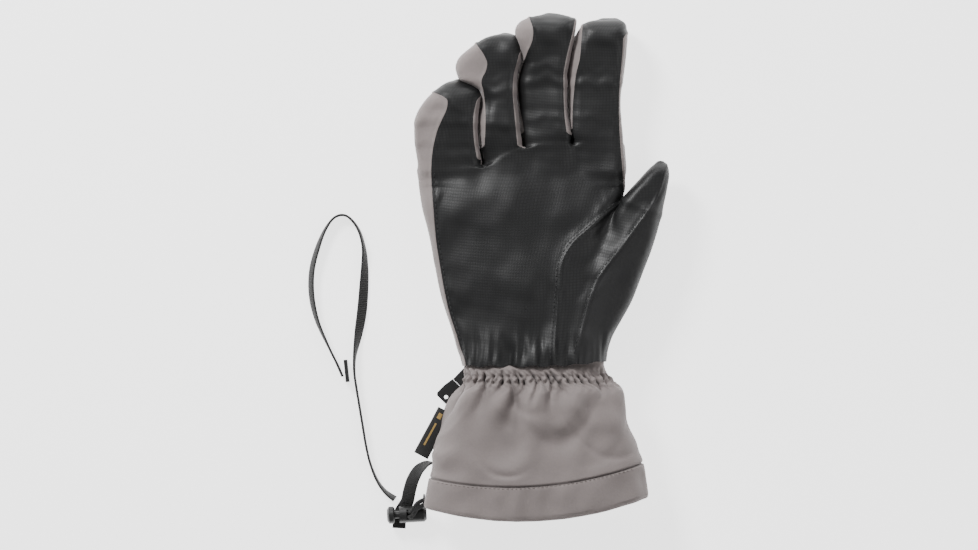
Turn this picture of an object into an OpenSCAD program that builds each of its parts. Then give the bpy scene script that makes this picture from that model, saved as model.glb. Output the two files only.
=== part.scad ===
// Insulated five-finger ski glove with a gauntlet cuff, a wrist strap and a wrist leash.
// It lies on its back, palm up: +X to the thumb side, +Y to the fingertips, +Z up.
// The origin is on the surface it lies on, under the middle of the glove. Millimetres.

/* [Shell] */
// Thickness of an outer fabric panel
shell_t = 1.4; // [1.0:0.1:1.8]
// Thickness of the insulated fleece liner
liner_t = 2.8; // [2.0:0.2:3.4]
// Thickness of a finger, palm to back
finger_h = 29; // [26:0.5:31]
// Thickness of the hand at its middle
hand_h = 39; // [35:1:42]
// Thickness of the gathered wrist
wrist_h = 35; // [32:1:37]
// Thickness of the open end of the cuff
cuff_h = 46; // [40:1:50]
// Half length of the soft zone at each finger joint
flex_half = 6; // [5.5:0.5:7]

/* [Wrist strap] */
// Width of the strap webbing
strap_w = 9; // [8:0.5:10]
// Thickness of the strap webbing
strap_t = 1.3; // [1.0:0.1:1.5]
// Diameter of the hole in the pull tab
tab_hole_d = 2.4; // [2.0:0.2:2.6]

/* [Cord lock] */
// Diameter of the barrel
barrel_d = 10; // [9.5:0.5:11]
// Length of the barrel
barrel_l = 16.5; // [16:0.5:18]
// Diameter of the elastic drawcord
cord_d = 2.6; // [2.2:0.2:2.8]
// Travel of the plunger
plunger_travel = 2.6; // [2.0:0.2:2.8]

/* [Leash] */
// Width of the leash webbing
leash_w = 6.2; // [5.4:0.2:6.4]
// Thickness of the leash webbing
leash_t = 1.8; // [1.4:0.1:2.0]

/* [Hidden] */

palm_black = "#2b2b2d";
shell_grey = "#8f8784";
lining_black = "#1d1d1f";
trim_black = "#161617";

// Facets in half a finger and in half of the hand or cuff
finger_facets = 8;
hand_facets = 12;
// How square a section is: 1 is an ellipse, less is squarer
squareness = 0.84;
// Length over which a fingertip rounds off
tip_round = 13;
gap = 0.25;

// Fingers: [knuckle y, middle joint y, tip y, edges as [y, left x, right x]]
little = [71, 92, 115.6, [[64, -66.5, -32.5], [84, -68, -32], [100, -65, -31], [110, -62, -31]]];
ring = [80, 109, 143.4, [[67, -29.5, -8.4], [114, -29, -8.4], [124, -30.4, -8.2], [143, -30.4, -8.2]]];
middle = [84, 116, 157.2, [[71, -6.8, 23], [112, -6.8, 22.5], [128, -6.8, 25], [157, -9, 28]]];
index = [84, 114, 153.6, [[75, 26.5, 56.5], [110, 26.5, 56], [125, 29, 58.5], [153, 31, 59.4]]];
// Where the fingers start, on the line x = 0
root_y = 69.8;

// Hand: [y, left x, right x, thickness]
hand_rows = [
    [-50, -41.5, 46, wrist_h + 1], [-40, -44, 45.5, hand_h - 1], [-20, -50.5, 45, hand_h],
    [0, -55.5, 45, hand_h], [20, -60, 46, hand_h], [36, -63, 50.5, hand_h - 1],
    [48, -65, 56.5, hand_h - 4], [58, -66.5, 57.5, hand_h - 6], [root_y - gap, -67, 57.5, hand_h - 8.5]
];
// Slope of the finger end of the hand, which follows the finger roots
root_slope = 0.12;
// How far up the thumb side the thumb hole opens, in degrees round the section
thumb_hole = 38;
// The middle of the thumb hole and half its length, along y
hole_y = -6;
hole_half = 40;
// How far the rim of the thumb's sleeve is set into the hole at its middle
hole_inset = 6;

// Thumb: axis from start to tip in plan, with sections [distance, half width, thickness]
thumb_from = [46, -20];
thumb_to = [81, 66];
thumb_rows = [[34, 14, 31], [48, 14, 31], [60, 13, 29], [72, 11.2, 27], [79, 9.6, 25]];
thumb_z = 19;
thumb_joint = 68;
thumb_reach = norm(thumb_to - thumb_from);
thumb_dir = (thumb_to - thumb_from) / thumb_reach;
thumb_side = [thumb_dir[1], -thumb_dir[0]];

// Wrist and cuff: [y, left x, right x, thickness]
wrist_z = wrist_h / 2 + 4.6;
wrist_rows = [
    [-50, -41.5, 46, wrist_h + 1], [-57, -39.5, 47, wrist_h], [-65, -38.6, 47.6, wrist_h - 1],
    [-74, -42, 54, wrist_h + 3]
];
cuff_rows = [
    [-74, -42, 54, wrist_h + 3], [-80, -46, 56.8, wrist_h + 6], [-94, -52, 61.6, cuff_h - 3],
    [-110, -57, 66.5, cuff_h - 1], [-124.5, -60.5, 70, cuff_h]
];
hem_rows = [[-124.7, -60.5, 70, cuff_h], [-137.5, -62, 72, cuff_h - 0.5]];
// The end of the cuff bows out in the middle and slopes up to the thumb side
cuff_bow = 8.5;
cuff_slope = 0.06;
// From the hem's outer face to its inner face
hem_depth = 5.8;

// Cord lock, lying on the surface beside the cuff: the end of the barrel away from the knob
lock_end = [-60.8, -147];
lock_z = barrel_d / 2 + 2.1;
lock_yaw = 3;
barrel_wall = 1.3;
stem_d = 4.6;
knob_d = 10.4;
knob_l = 4.6;
cord_hole_at = 10.4;
cord_hole = lock_end + cord_hole_at * [cos(180 + lock_yaw), sin(180 + lock_yaw)];

// Wrist strap: the ladder lock and the way its free end points
strap_z = 2.2;
pull_z = 5.2;
ladder_at = [-28, -55];
pull_angle = 226;
pull_dir = [cos(pull_angle), sin(pull_angle)];
tab_at = ladder_at + 25 * pull_dir;

// Leash route, from the cord lock round the loop to the slider: [x, y, z, roll]
// Roll turns the webbing about its own length: 0 is flat, 90 stands on its edge.
leash_route = [
    [-80, -138.6, 3.4, 60], [-86, -134, 3.2, 75], [-91, -127, 3.2, 85], [-95, -117, 3.2, 90],
    [-97.6, -106, 3.2, 90], [-99.6, -94, 3.2, 90], [-101.6, -82, 3.2, 90], [-103.4, -71, 3.2, 90],
    [-104.6, -62, 3.2, 90], [-104.4, -52, 3.2, 80], [-102.4, -40, 2.6, 45], [-100.2, -26, 1.6, 15],
    [-99, -12, 1.8, 25], [-98.4, 2, 2.4, 50], [-99, 14, 3.2, 75], [-102.4, 25, 3.2, 85],
    [-109, 32.6, 3.2, 90], [-116, 32.2, 3.2, 90], [-122, 25, 3.2, 80], [-127, 13, 3.1, 65],
    [-130.4, -1, 3, 60], [-130.4, -16, 3, 60], [-127, -31, 3.1, 70], [-120.4, -46, 3.2, 85],
    [-115, -57, 3.2, 90], [-111.7, -64.5, 3.2, 90]
];
slider_at = [-109.3, -61];
slider_yaw = 6;
slider_size = [2.2, 13.5, 6.6];

// ---- General shapes -------------------------------------------------------------------

function soft(v) = sign(v) * pow(abs(v), squareness);

function at_y(edges, y, k) = lookup(y, [for (e = edges) [e[0], e[k]]]);

// Evenly spaced angles from a to b, both included
function steps(a, b, n) = [for (i = [0:n]) a + (b - a) * i / n];

// A closed round of angles
function full_turn(n) = [for (i = [0:n - 1]) i * 360 / n];

// A section [y, centre x, half width, centre z, half thickness] as points, kept above floor
function section(s, angles, floor, slope = 0, bow = 0) = [
    for (t = angles)
        let (u = soft(cos(t)), x = s[1] + s[2] * u)
            [x, s[0] + slope * x - bow * (1 - u * u), max(floor, s[3] + s[4] * soft(sin(t)))]
];

// The same layer of sections as one list of point rings
function layer(rows, angles, floor, slope = 0, bow = 0) =
    [for (r = rows) section(r, angles, floor, slope, bow)];

// The solid between an outer and an inner layer. Rings run along the length; a closed layer
// goes all the way round, and an open one gets side walls.
module between(outer, inner, closed) {
    rings = len(outer);
    n = len(outer[0]);
    last = closed ? n : n - 1;
    points = concat([for (r = outer) each r], [for (r = inner) each r]);
    half = rings * n;
    function at(l, i, j) = l * half + i * n + j % n;
    function quad(a, b, c, d) = [[a, b, c], [a, c, d]];
    faces = concat(
        [for (i = [0:rings - 2], j = [0:last - 1])
            each quad(at(0, i, j), at(0, i, j + 1), at(0, i + 1, j + 1), at(0, i + 1, j))],
        [for (i = [0:rings - 2], j = [0:last - 1])
            each quad(at(1, i, j), at(1, i + 1, j), at(1, i + 1, j + 1), at(1, i, j + 1))],
        [for (j = [0:last - 1])
            each quad(at(0, 0, j), at(1, 0, j), at(1, 0, j + 1), at(0, 0, j + 1))],
        [for (j = [0:last - 1])
            each quad(at(0, rings - 1, j), at(0, rings - 1, j + 1),
                      at(1, rings - 1, j + 1), at(1, rings - 1, j))],
        closed ? [] : [for (i = [0:rings - 2])
            each quad(at(0, i, 0), at(0, i + 1, 0), at(1, i + 1, 0), at(1, i, 0))],
        closed ? [] : [for (i = [0:rings - 2])
            each quad(at(0, i, n - 1), at(1, i, n - 1), at(1, i + 1, n - 1), at(0, i + 1, n - 1))]
    );
    polyhedron(points = points, faces = faces, convexity = 6);
}

// A flat or round band swept along a route of [x, y, z, roll]
module band(route, w, t, sides = 8) {
    last = len(route) - 1;
    function spot(i) = [route[i][0], route[i][1], route[i][2]];
    function way(i) =
        let (d = spot(min(i + 1, last)) - spot(max(i - 1, 0))) d / norm(d);
    function across(d) = let (c = cross([0, 0, 1], d)) c / norm(c);
    function ring_at(i) =
        let (d = way(i), c = across(d), u = cross(d, c), a = route[i][3])
            [for (k = [0:sides - 1])
                let (p = 360 * (k + 0.5) / sides, x = w / 2 * cos(p) / cos(180 / sides),
                     z = t / 2 * sin(p) / cos(180 / sides))
                    spot(i) + c * (x * cos(a) - z * sin(a)) + u * (x * sin(a) + z * cos(a))];
    points = [for (i = [0:last]) each ring_at(i)];
    faces = concat(
        [for (i = [0:last - 1], k = [0:sides - 1])
            let (a = i * sides + k, b = i * sides + (k + 1) % sides)
                each [[a, b, b + sides], [a, b + sides, a + sides]]],
        [for (k = [1:sides - 2]) [0, k + 1, k]],
        [for (k = [1:sides - 2]) [last * sides, last * sides + k, last * sides + k + 1]]
    );
    polyhedron(points = points, faces = faces, convexity = 10);
}

// ---- Fingers ----------------------------------------------------------------------------

palm_half = steps(0, 180, finger_facets);
back_half = steps(180, 360, finger_facets);
finger_round = full_turn(2 * finger_facets);
finger_z = finger_h / 2 - 0.5;

function finger_row(f, y, off, k = 1) = [
    y, (at_y(f[3], y, 1) + at_y(f[3], y, 2)) / 2,
    k * ((at_y(f[3], y, 2) - at_y(f[3], y, 1)) / 2 - off),
    finger_z, k * (finger_h / 2 - off)
];

// Straight stretch of a finger, from y0 to y1
function finger_rows(f, y0, y1, off, n = 3) =
    [for (y = steps(y0, y1, n)) finger_row(f, y, off)];

// The rounded end of a finger, which closes on a point
function finger_end(f, off) =
    let (from = f[2] - tip_round)
        [for (u = [0, 0.35, 0.65, 0.86, 0.96, 1])
            finger_row(f, from + u * (tip_round - off), off, sqrt(1 - u * u))];

function tip_rows(f, off) =
    concat(finger_rows(f, f[1] + flex_half, f[2] - tip_round - 2, off, 2), finger_end(f, off));

module finger_base(f, angles, from_off, to_off, closed) {
    y0 = f[0] + flex_half;
    y1 = f[1] - flex_half;
    between(layer(finger_rows(f, y0, y1, from_off), angles, from_off),
            layer(finger_rows(f, y0, y1, to_off), angles, to_off), closed);
}

module finger_tip(f, angles, from_off, to_off, closed) {
    between(layer(tip_rows(f, from_off), angles, from_off),
            layer(tip_rows(f, to_off), angles, to_off), closed);
}

// Soft tubes over the knuckle, from the slanting end of the hand, and over the middle joint
function knuckle_rings(f, off) = concat(
    [section(finger_row(f, root_y, off), finger_round, off, root_slope)],
    layer(finger_rows(f, f[0], f[0] + flex_half - gap, off, 2), finger_round, off));

function middle_rings(f, off) =
    layer(finger_rows(f, f[1] - flex_half + gap, f[1] + flex_half - gap, off, 2), finger_round, off);

module finger_flex(f) {
    color(shell_grey) {
        between(knuckle_rings(f, 0), knuckle_rings(f, shell_t), true);
        between(middle_rings(f, 0), middle_rings(f, shell_t), true);
    }
}

// One sub-part of a finger, by the end of its node's name
module finger_part(f, part) {
    if (part == "base_palm") color(palm_black) finger_base(f, palm_half, 0, shell_t, false);
    if (part == "base_back") color(shell_grey) finger_base(f, back_half, 0, shell_t, false);
    if (part == "base_liner") color(lining_black)
        finger_base(f, finger_round, shell_t, shell_t + liner_t, true);
    if (part == "tip_palm") color(palm_black) finger_tip(f, palm_half, 0, shell_t, false);
    if (part == "tip_back") color(shell_grey) finger_tip(f, back_half, 0, shell_t, false);
    if (part == "tip_liner") color(lining_black)
        finger_tip(f, finger_round, shell_t, shell_t + liner_t, true);
    if (part == "flex_zones") finger_flex(f);
}

// The fabric saddles at the three finger crotches
module finger_webs() {
    for (pair = [[little, ring, 69.8], [ring, middle, 71.6], [middle, index, 75.6]])
        let (a = at_y(pair[0][3], pair[2], 2), b = at_y(pair[1][3], pair[2], 1))
            color(shell_grey)
            translate([(a + b) / 2, pair[2], finger_z])
            cube([b - a - 2 * gap, 4, finger_h * 0.72], center = true);
}

// ---- Hand -------------------------------------------------------------------------------

hand_round = full_turn(2 * hand_facets);

// The hand rises from the floor to the wrist, which has the strap under it
function hand_layer(rows, angles, off) = [
    for (r = rows)
        let (near_wrist = max(0, min(1, (-r[0] - 20) / 30)), lying_z = r[3] / 2 - 0.6,
             z = lying_z + near_wrist * (wrist_z - lying_z))
            section(tube_row(r, off, z), angles, off, root_slope * max(0, min(1, (r[0] - 20) / 48)))
];

// The thumb hole is where the two panels stop short of each other on the thumb side
function hole_at(y) = thumb_hole * max(0, 1 - pow((y - hole_y) / (hole_half - 1), 2));

function panel_layer(rows, off, from, to) = [
    for (r = rows)
        let (h = hole_at(r[0]), a = from + (from == 0 ? h : 0), b = to - (to == 360 ? h : 0))
            hand_layer([r], steps(a, b, hand_facets), off)[0]
];

module hand_panel(from, to, off0, off1) {
    between(panel_layer(hand_rows, off0, from, to), panel_layer(hand_rows, off1, from, to), false);
}

module hand_palm_panel() { color(palm_black) hand_panel(0, 180, 0, shell_t); }

module hand_back_panel() { color(shell_grey) hand_panel(180, 360, 0, shell_t); }

// The liner keeps clear of the thumb hole, so it is open on that side
module hand_liner() {
    off0 = shell_t + 0.3;
    off1 = shell_t + liner_t;
    color(lining_black)
    between([for (r = hand_rows) hand_layer([r], liner_angles(r[0]), off0)[0]],
            [for (r = hand_rows) hand_layer([r], liner_angles(r[0]), off1)[0]], false);
}

// The panels' own angles, but for the two ends
function liner_angles(y) =
    let (h = hole_at(y), a = steps(h, 360 - h, 2 * hand_facets))
        concat([h + 2], [for (i = [1:2 * hand_facets - 1]) a[i]], [358 - h]);

// ---- Thumb ------------------------------------------------------------------------------

// A thumb section at a distance along its axis, squeezed by k
function thumb_ring(s, w, h, off, angles, k = 1) = [
    for (t = angles)
        let (c = thumb_from + s * thumb_dir + k * (w - off) * soft(cos(t)) * thumb_side)
            [c[0], c[1], max(off, thumb_z + k * (h / 2 - off) * soft(sin(t)))]
];

function thumb_layer(s0, s1, off, angles, n = 3) = [
    for (s = steps(s0, s1, n))
        thumb_ring(s, at_y(thumb_rows, s, 1), at_y(thumb_rows, s, 2), off, angles)
];

function thumb_end(off, angles) =
    let (from = thumb_reach - tip_round, w = at_y(thumb_rows, from, 1), h = at_y(thumb_rows, from, 2))
        [for (u = [0.35, 0.65, 0.86, 0.96, 1])
            thumb_ring(from + u * (tip_round - off), w, h, off, angles, sqrt(1 - u * u))];

thumb_start = 36;

module thumb_base(angles, off0, off1, closed) {
    end = thumb_joint - flex_half;
    between(thumb_layer(thumb_start, end, off0, angles, 2),
            thumb_layer(thumb_start, end, off1, angles, 2), closed);
}

module thumb_tip(angles, off0, off1, closed) {
    s0 = thumb_joint + flex_half;
    s1 = thumb_reach - tip_round;
    between(concat(thumb_layer(s0, s1, off0, angles, 2), thumb_end(off0, angles)),
            concat(thumb_layer(s0, s1, off1, angles, 2), thumb_end(off1, angles)), closed);
}

// The thumb's root is a sleeve from the thumb hole to the thumb, and its joint is a short tube
module thumb_flex() {
    function hole_ring(off) = [
        for (t = finger_round)
            let (y = hole_y - (hole_half - off) * cos(t))
                [at_y(hand_rows, y, 2) + 0.6 - hole_inset * (1 - cos(t) * cos(t)), y,
                 thumb_z + (8.8 - off) * soft(sin(t))]
    ];
    function near_ring(off) = thumb_layer(thumb_start - gap, thumb_start - gap, off, finger_round, 1)[0];
    color(palm_black) {
        between([hole_ring(0), (hole_ring(0) + 2 * near_ring(0)) / 3, near_ring(0)],
                [hole_ring(shell_t), (hole_ring(shell_t) + 2 * near_ring(shell_t)) / 3,
                 near_ring(shell_t)], true);
        between(thumb_layer(thumb_joint - flex_half + gap, thumb_joint + flex_half - gap, 0, finger_round),
                thumb_layer(thumb_joint - flex_half + gap, thumb_joint + flex_half - gap, shell_t,
                            finger_round), true);
    }
}

module thumb_part(part) {
    inner = shell_t + liner_t;
    if (part == "base_palm") color(palm_black) thumb_base(palm_half, 0, shell_t, false);
    if (part == "base_back") color(palm_black) thumb_base(back_half, 0, shell_t, false);
    if (part == "base_liner") color(lining_black) thumb_base(finger_round, shell_t, inner, true);
    if (part == "tip_palm") color(palm_black) thumb_tip(palm_half, 0, shell_t, false);
    if (part == "tip_back") color(palm_black) thumb_tip(back_half, 0, shell_t, false);
    if (part == "tip_liner") color(lining_black) thumb_tip(finger_round, shell_t, inner, true);
    if (part == "flex_zones") thumb_flex();
}

// ---- Wrist and cuff ------------------------------------------------------------------------

function tube_row(r, off, z) = [r[0], (r[1] + r[2]) / 2, (r[2] - r[1]) / 2 - off, z, r[3] / 2 - off];

// The cuff's middle comes down from the wrist's height to rest on the floor
function cuff_z(r) = let (k = max(0, min(1, (-r[0] - 66) / 26)))
    wrist_z + k * (r[3] / 2 - 0.6 - wrist_z);

function tube_layer(rows, off, angles) = [
    for (r = rows)
        let (k = max(0, min(1, (-r[0] - 74) / 50)))
            section(tube_row(r, off, cuff_z(r)), angles, off, cuff_slope * k, cuff_bow * k)
];

module tube(rows, off0, off1, angles, closed) {
    between(tube_layer(rows, off0, angles), tube_layer(rows, off1, angles), closed);
}

// The gathered band between the hand and the cuff
module wrist_gather() {
    rows = [for (r = wrist_rows) [r[0] + (r[0] > -51 ? -gap : (r[0] < -73 ? gap : 0)), r[1], r[2], r[3]]];
    color(shell_grey) tube(rows, 0, shell_t, hand_round, true);
}

module wrist_elastic() {
    rows = [for (y = [-61, -65, -69])
        [y, at_y(wrist_rows_up, y, 1), at_y(wrist_rows_up, y, 2), at_y(wrist_rows_up, y, 3)]];
    color(lining_black) tube(rows, shell_t + 0.1, shell_t + 1.3, hand_round, true);
}

wrist_rows_up = [for (i = [len(wrist_rows) - 1:-1:0]) wrist_rows[i]];

module cuff_palm_panel() {
    color(shell_grey) tube(cuff_rows, 0, shell_t, steps(0, 180, hand_facets), false);
}

module cuff_back_panel() {
    color(shell_grey) tube(cuff_rows, 0, shell_t, steps(180, 360, hand_facets), false);
}

module cuff_lining() {
    color(lining_black) tube(cuff_rows, shell_t + 0.1, shell_t + 1.3, hand_round, true);
}

// The hem is one fold of fabric: an outer and an inner wall round the drawcord, joined at the mouth
module cuff_hem() {
    section_at = [[0, 0], [0, 1], [hem_depth, 1], [hem_depth, 0], [hem_depth - shell_t, 0],
                  [hem_depth - shell_t, 0.88], [shell_t, 0.88], [shell_t, 0]];
    function corner(s) =
        let (r = hem_rows[0] + s[1] * (hem_rows[1] - hem_rows[0])) tube_layer([r], s[0], hand_round)[0];
    rings = [for (s = section_at) corner(s)];
    n = len(hand_round);
    m = len(rings);
    color(shell_grey)
    polyhedron(
        points = [for (r = rings) each r],
        faces = [for (i = [0:m - 1], j = [0:n - 1])
            let (a = i * n + j, b = i * n + (j + 1) % n, c = (i + 1) % m * n + (j + 1) % n,
                 d = (i + 1) % m * n + j)
                each [[a, b, c], [a, c, d]]],
        convexity = 8);
}

// ---- Drawcord, tether and cord lock ---------------------------------------------------------

eyelet_at = [-61.6, -139.5, 14];

// The cord runs round inside the hem and comes out as two strands at the eyelet
module drawcord() {
    row = hem_rows[0] + 0.5 * (hem_rows[1] - hem_rows[0]);
    color(trim_black) {
        cord_ring(tube_layer([row], hem_depth / 2, hand_round)[0]);
        for (k = [-1, 1])
            band([[eyelet_at[0] - 1.9, eyelet_at[1] - 0.6 + 1.5 * k, eyelet_at[2], 0],
                  [eyelet_at[0] - 4.6, eyelet_at[1] - 2.6 + 1.5 * k, lock_z + barrel_d / 2 + 3, 0],
                  [cord_hole[0] + 1.8, cord_hole[1] + 0.9 + 1.5 * k, lock_z + barrel_d / 2 + 2.2, 0],
                  [cord_hole[0] + 0.2, cord_hole[1] + 0.1 + 1.5 * k, lock_z + barrel_d / 2 + 0.6, 0],
                  [cord_hole[0], cord_hole[1] + 1.5 * k, lock_z + 3.4, 0]],
                 cord_d, cord_d);
    }
}

// A closed round tube through a ring of points
module cord_ring(ring_points, sides = 8) {
    n = len(ring_points);
    function way(i) =
        let (d = ring_points[(i + 1) % n] - ring_points[(i + n - 1) % n]) d / norm(d);
    function out(i) = let (c = cross(way(i), [0, 1, 0])) c / norm(c);
    points = [for (i = [0:n - 1], k = [0:sides - 1])
        ring_points[i] + cord_d / 2 * (cos(360 * k / sides) * out(i)
            + sin(360 * k / sides) * cross(way(i), out(i)))];
    polyhedron(
        points = points,
        faces = [for (i = [0:n - 1], k = [0:sides - 1])
            let (a = i * sides + k, b = i * sides + (k + 1) % sides, c = (i + 1) % n * sides + (k + 1) % sides,
                 d = (i + 1) % n * sides + k)
                each [[a, b, c], [a, c, d]]],
        convexity = 8);
}

module drawcord_eyelet() {
    color(trim_black)
    translate(eyelet_at) rotate([0, -90, 0])
    difference() {
        cylinder(d = 9, h = 1.2, $fn = 48);
        translate([0, 0, -1]) cylinder(d = 6.2, h = 4, $fn = 48);
    }
}

module cord_tether() {
    color(trim_black)
    band([[-58.6, -116.6, 17, 90], [-62, -117.6, 16.4, 60], [-66, -121, 14.5, 35],
          [-69, -126.5, 11.8, 20], [-71, -133, 9, 12], [-72.4, -139.4, 6, 8],
          [-74, -142.6, 1.3, 0], [-77, -148, 1, 0], [-77.6, -156.4, 1, 0]],
         8, 1.3);
}

// Everything on the cord lock is drawn along +X from the end of its barrel to its knob
module in_lock() {
    translate([lock_end[0], lock_end[1], lock_z]) rotate([0, 0, 180 + lock_yaw]) rotate([0, 90, 0])
    children();
}

module lock_barrel() {
    bore = barrel_d - 2 * barrel_wall;
    color(trim_black)
    in_lock() difference() {
        union() {
            translate([0, 0, 1.6]) cylinder(d = barrel_d, h = barrel_l - 1.6, $fn = 64);
            cylinder(d1 = barrel_d - 2.6, d2 = barrel_d, h = 1.6, $fn = 64);
        }
        translate([0, 0, 2.4]) cylinder(d = bore, h = barrel_l, $fn = 64);
        // Slot for the two strands of cord, from the top down
        translate([-barrel_d, -3, cord_hole_at - 1.6]) cube([barrel_d, 6, 3.2]);
    }
}

plunger_d = barrel_d - 2 * barrel_wall - 0.3;

module lock_plunger() {
    color(trim_black)
    in_lock() {
        difference() {
            translate([0, 0, cord_hole_at - 3.4]) cylinder(d = plunger_d, h = barrel_l - cord_hole_at + 3.4, $fn = 64);
            translate([-barrel_d, -3.2, cord_hole_at - 1.8]) cube([2 * barrel_d, 6.4, 3.6 + plunger_travel]);
        }
        translate([0, 0, barrel_l - 0.2]) cylinder(d = stem_d, h = plunger_travel + 0.6, $fn = 48);
        translate([0, 0, barrel_l + plunger_travel + 0.2]) {
            cylinder(d1 = knob_d - 1.6, d2 = knob_d, h = 0.8, $fn = 64);
            translate([0, 0, 0.8]) cylinder(d = knob_d, h = knob_l - 2, $fn = 64);
            translate([0, 0, knob_l - 1.2]) cylinder(d1 = knob_d, d2 = knob_d - 3.4, h = 1.2, $fn = 64);
        }
    }
}

// Coil spring between the barrel's closed end and the plunger
module lock_spring() {
    turns = 4;
    wire = 0.5;
    r = plunger_d / 2 - 0.6;
    z0 = 2.4 + wire / 2 + 0.02;
    z1 = cord_hole_at - 3.4 - wire / 2 - 0.02;
    route = [for (i = [0:turns * 12]) let (a = i * 30, k = i / (turns * 12))
        [r * cos(a), r * sin(a), z0 + k * (z1 - z0), 0]];
    color("silver") in_lock() band(route, wire, wire, 5);
}

// ---- Wrist strap ------------------------------------------------------------------------------

module wrist_strap() {
    color(trim_black)
    translate([0, 0, strap_z])
    linear_extrude(strap_t, center = true)
    polygon([ladder_at + [9.3, strap_w / 2], [34, -51], [34, -51 - strap_w], ladder_at + [9.3, -strap_w / 2]]);
}

module ladder_lock() {
    w = strap_w + 4.4;
    color(trim_black)
    translate([ladder_at[0], ladder_at[1], strap_z])
    rotate([0, 0, pull_angle])
    difference() {
        translate([-6, -w / 2, -2]) cube([12, w, 4]);
        for (x = [-4.2, 0.9])
            translate([x, -strap_w / 2 - 0.3, -3]) cube([3.3, strap_w + 0.6, 6]);
    }
}

module pull_strap() {
    color(trim_black)
    translate([ladder_at[0], ladder_at[1], pull_z])
    rotate([0, 0, pull_angle])
    translate([-4, -strap_w / 2, -strap_t / 2]) cube([23.6, strap_w, strap_t]);
}

// The moulded tab on the strap's free end, with a clip hole
module pull_tab() {
    color(trim_black)
    translate([tab_at[0], tab_at[1], pull_z])
    rotate([0, 0, pull_angle])
    difference() {
        linear_extrude(3.2, center = true)
            polygon([[-5.2, -4.8], [-5.2, 4.8], [1, 5.8], [7.2, 5.8], [8.4, 4.6], [8.4, -4.6], [7.2, -5.8], [1, -5.8]]);
        translate([5.3, 0, -4]) cylinder(d = tab_hole_d, h = 8, $fn = 48);
    }
}

module side_label() {
    color(trim_black)
    translate([-58.9, -94.7, 17]) rotate([0, 0, 62]) rotate([14, 0, 0])
    cube([31, 9, 0.8], center = true);
}

// ---- Leash --------------------------------------------------------------------------------------

module leash_webbing() { color(trim_black) band(leash_route, leash_w, leash_t); }

module leash_slider() {
    color(trim_black)
    translate([slider_at[0], slider_at[1], slider_size[2] / 2]) rotate([0, 0, slider_yaw])
    cube(slider_size, center = true);
}

// ---- The parts --------------------------------------------------------------------------------

FINGERS = [["little", little], ["ring", ring], ["middle", middle], ["index", index]];
FINGER_PARTS = ["base_palm", "base_back", "base_liner", "tip_palm", "tip_back", "tip_liner", "flex_zones"];

for (f = FINGERS, part = FINGER_PARTS)
    finger_part(f[1], part);
for (part = FINGER_PARTS)
    thumb_part(part);
finger_webs();
hand_palm_panel();
hand_back_panel();
hand_liner();
wrist_gather();
wrist_elastic();
cuff_palm_panel();
cuff_back_panel();
cuff_lining();
cuff_hem();
drawcord();
drawcord_eyelet();
cord_tether();
lock_barrel();
lock_plunger();
lock_spring();
wrist_strap();
ladder_lock();
pull_strap();
pull_tab();
side_label();
leash_webbing();
leash_slider();
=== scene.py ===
"""Insulated ski glove with a gauntlet cuff, lying palm up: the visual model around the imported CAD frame.

Lengths are in millimetres in the shaping code, and become metres when a mesh is made."""

import math

import bpy
import numpy as np
import openvdb
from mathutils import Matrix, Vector
from mathutils.bvhtree import BVHTree
from mathutils.kdtree import KDTree


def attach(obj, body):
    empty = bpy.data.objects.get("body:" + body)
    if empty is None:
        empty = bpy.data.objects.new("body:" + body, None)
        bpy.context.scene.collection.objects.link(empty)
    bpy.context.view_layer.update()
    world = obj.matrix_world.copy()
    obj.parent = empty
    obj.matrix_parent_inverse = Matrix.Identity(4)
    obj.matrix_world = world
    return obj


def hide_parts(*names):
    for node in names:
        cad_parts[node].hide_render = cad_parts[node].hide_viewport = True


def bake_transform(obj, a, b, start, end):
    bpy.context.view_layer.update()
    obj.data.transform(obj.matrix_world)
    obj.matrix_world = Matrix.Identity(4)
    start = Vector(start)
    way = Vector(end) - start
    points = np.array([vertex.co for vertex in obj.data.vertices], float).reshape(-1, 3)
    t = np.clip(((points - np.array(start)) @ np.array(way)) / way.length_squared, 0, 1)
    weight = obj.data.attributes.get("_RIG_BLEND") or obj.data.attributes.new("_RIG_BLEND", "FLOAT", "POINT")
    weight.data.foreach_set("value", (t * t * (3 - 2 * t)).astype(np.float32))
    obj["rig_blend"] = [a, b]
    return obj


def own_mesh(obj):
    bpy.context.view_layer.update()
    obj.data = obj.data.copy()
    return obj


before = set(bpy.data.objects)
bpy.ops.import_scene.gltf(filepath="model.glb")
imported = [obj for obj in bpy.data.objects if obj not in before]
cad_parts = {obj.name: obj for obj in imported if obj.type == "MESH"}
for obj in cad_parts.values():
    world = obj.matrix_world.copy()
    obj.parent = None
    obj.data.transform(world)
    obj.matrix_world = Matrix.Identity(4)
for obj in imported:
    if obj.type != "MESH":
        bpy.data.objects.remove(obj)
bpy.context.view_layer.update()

MM = 0.001
VOXEL = 0.9
rng = np.random.default_rng(7)

# ---- Camera, floor and light --------

SCENE = bpy.context.scene
COLLECTION = SCENE.collection
FRAME_WIDTH = 586.8  # what the camera sees across, at the glove's middle height
CAMERA_CENTRE = (-23.1, -3.0)
GLOVE_MIDDLE_Z = 25.0
LENS = 150.0
SENSOR = 36.0


def look_down():
    """The camera straight above, square to the glove."""
    data = bpy.data.cameras.new("camera")
    data.lens = LENS
    data.sensor_width = SENSOR
    data.clip_end = 20.0
    camera = bpy.data.objects.new("camera", data)
    COLLECTION.objects.link(camera)
    height = FRAME_WIDTH * LENS / SENSOR + GLOVE_MIDDLE_Z
    camera.location = (CAMERA_CENTRE[0] * MM, CAMERA_CENTRE[1] * MM, height * MM)
    SCENE.camera = camera


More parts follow.
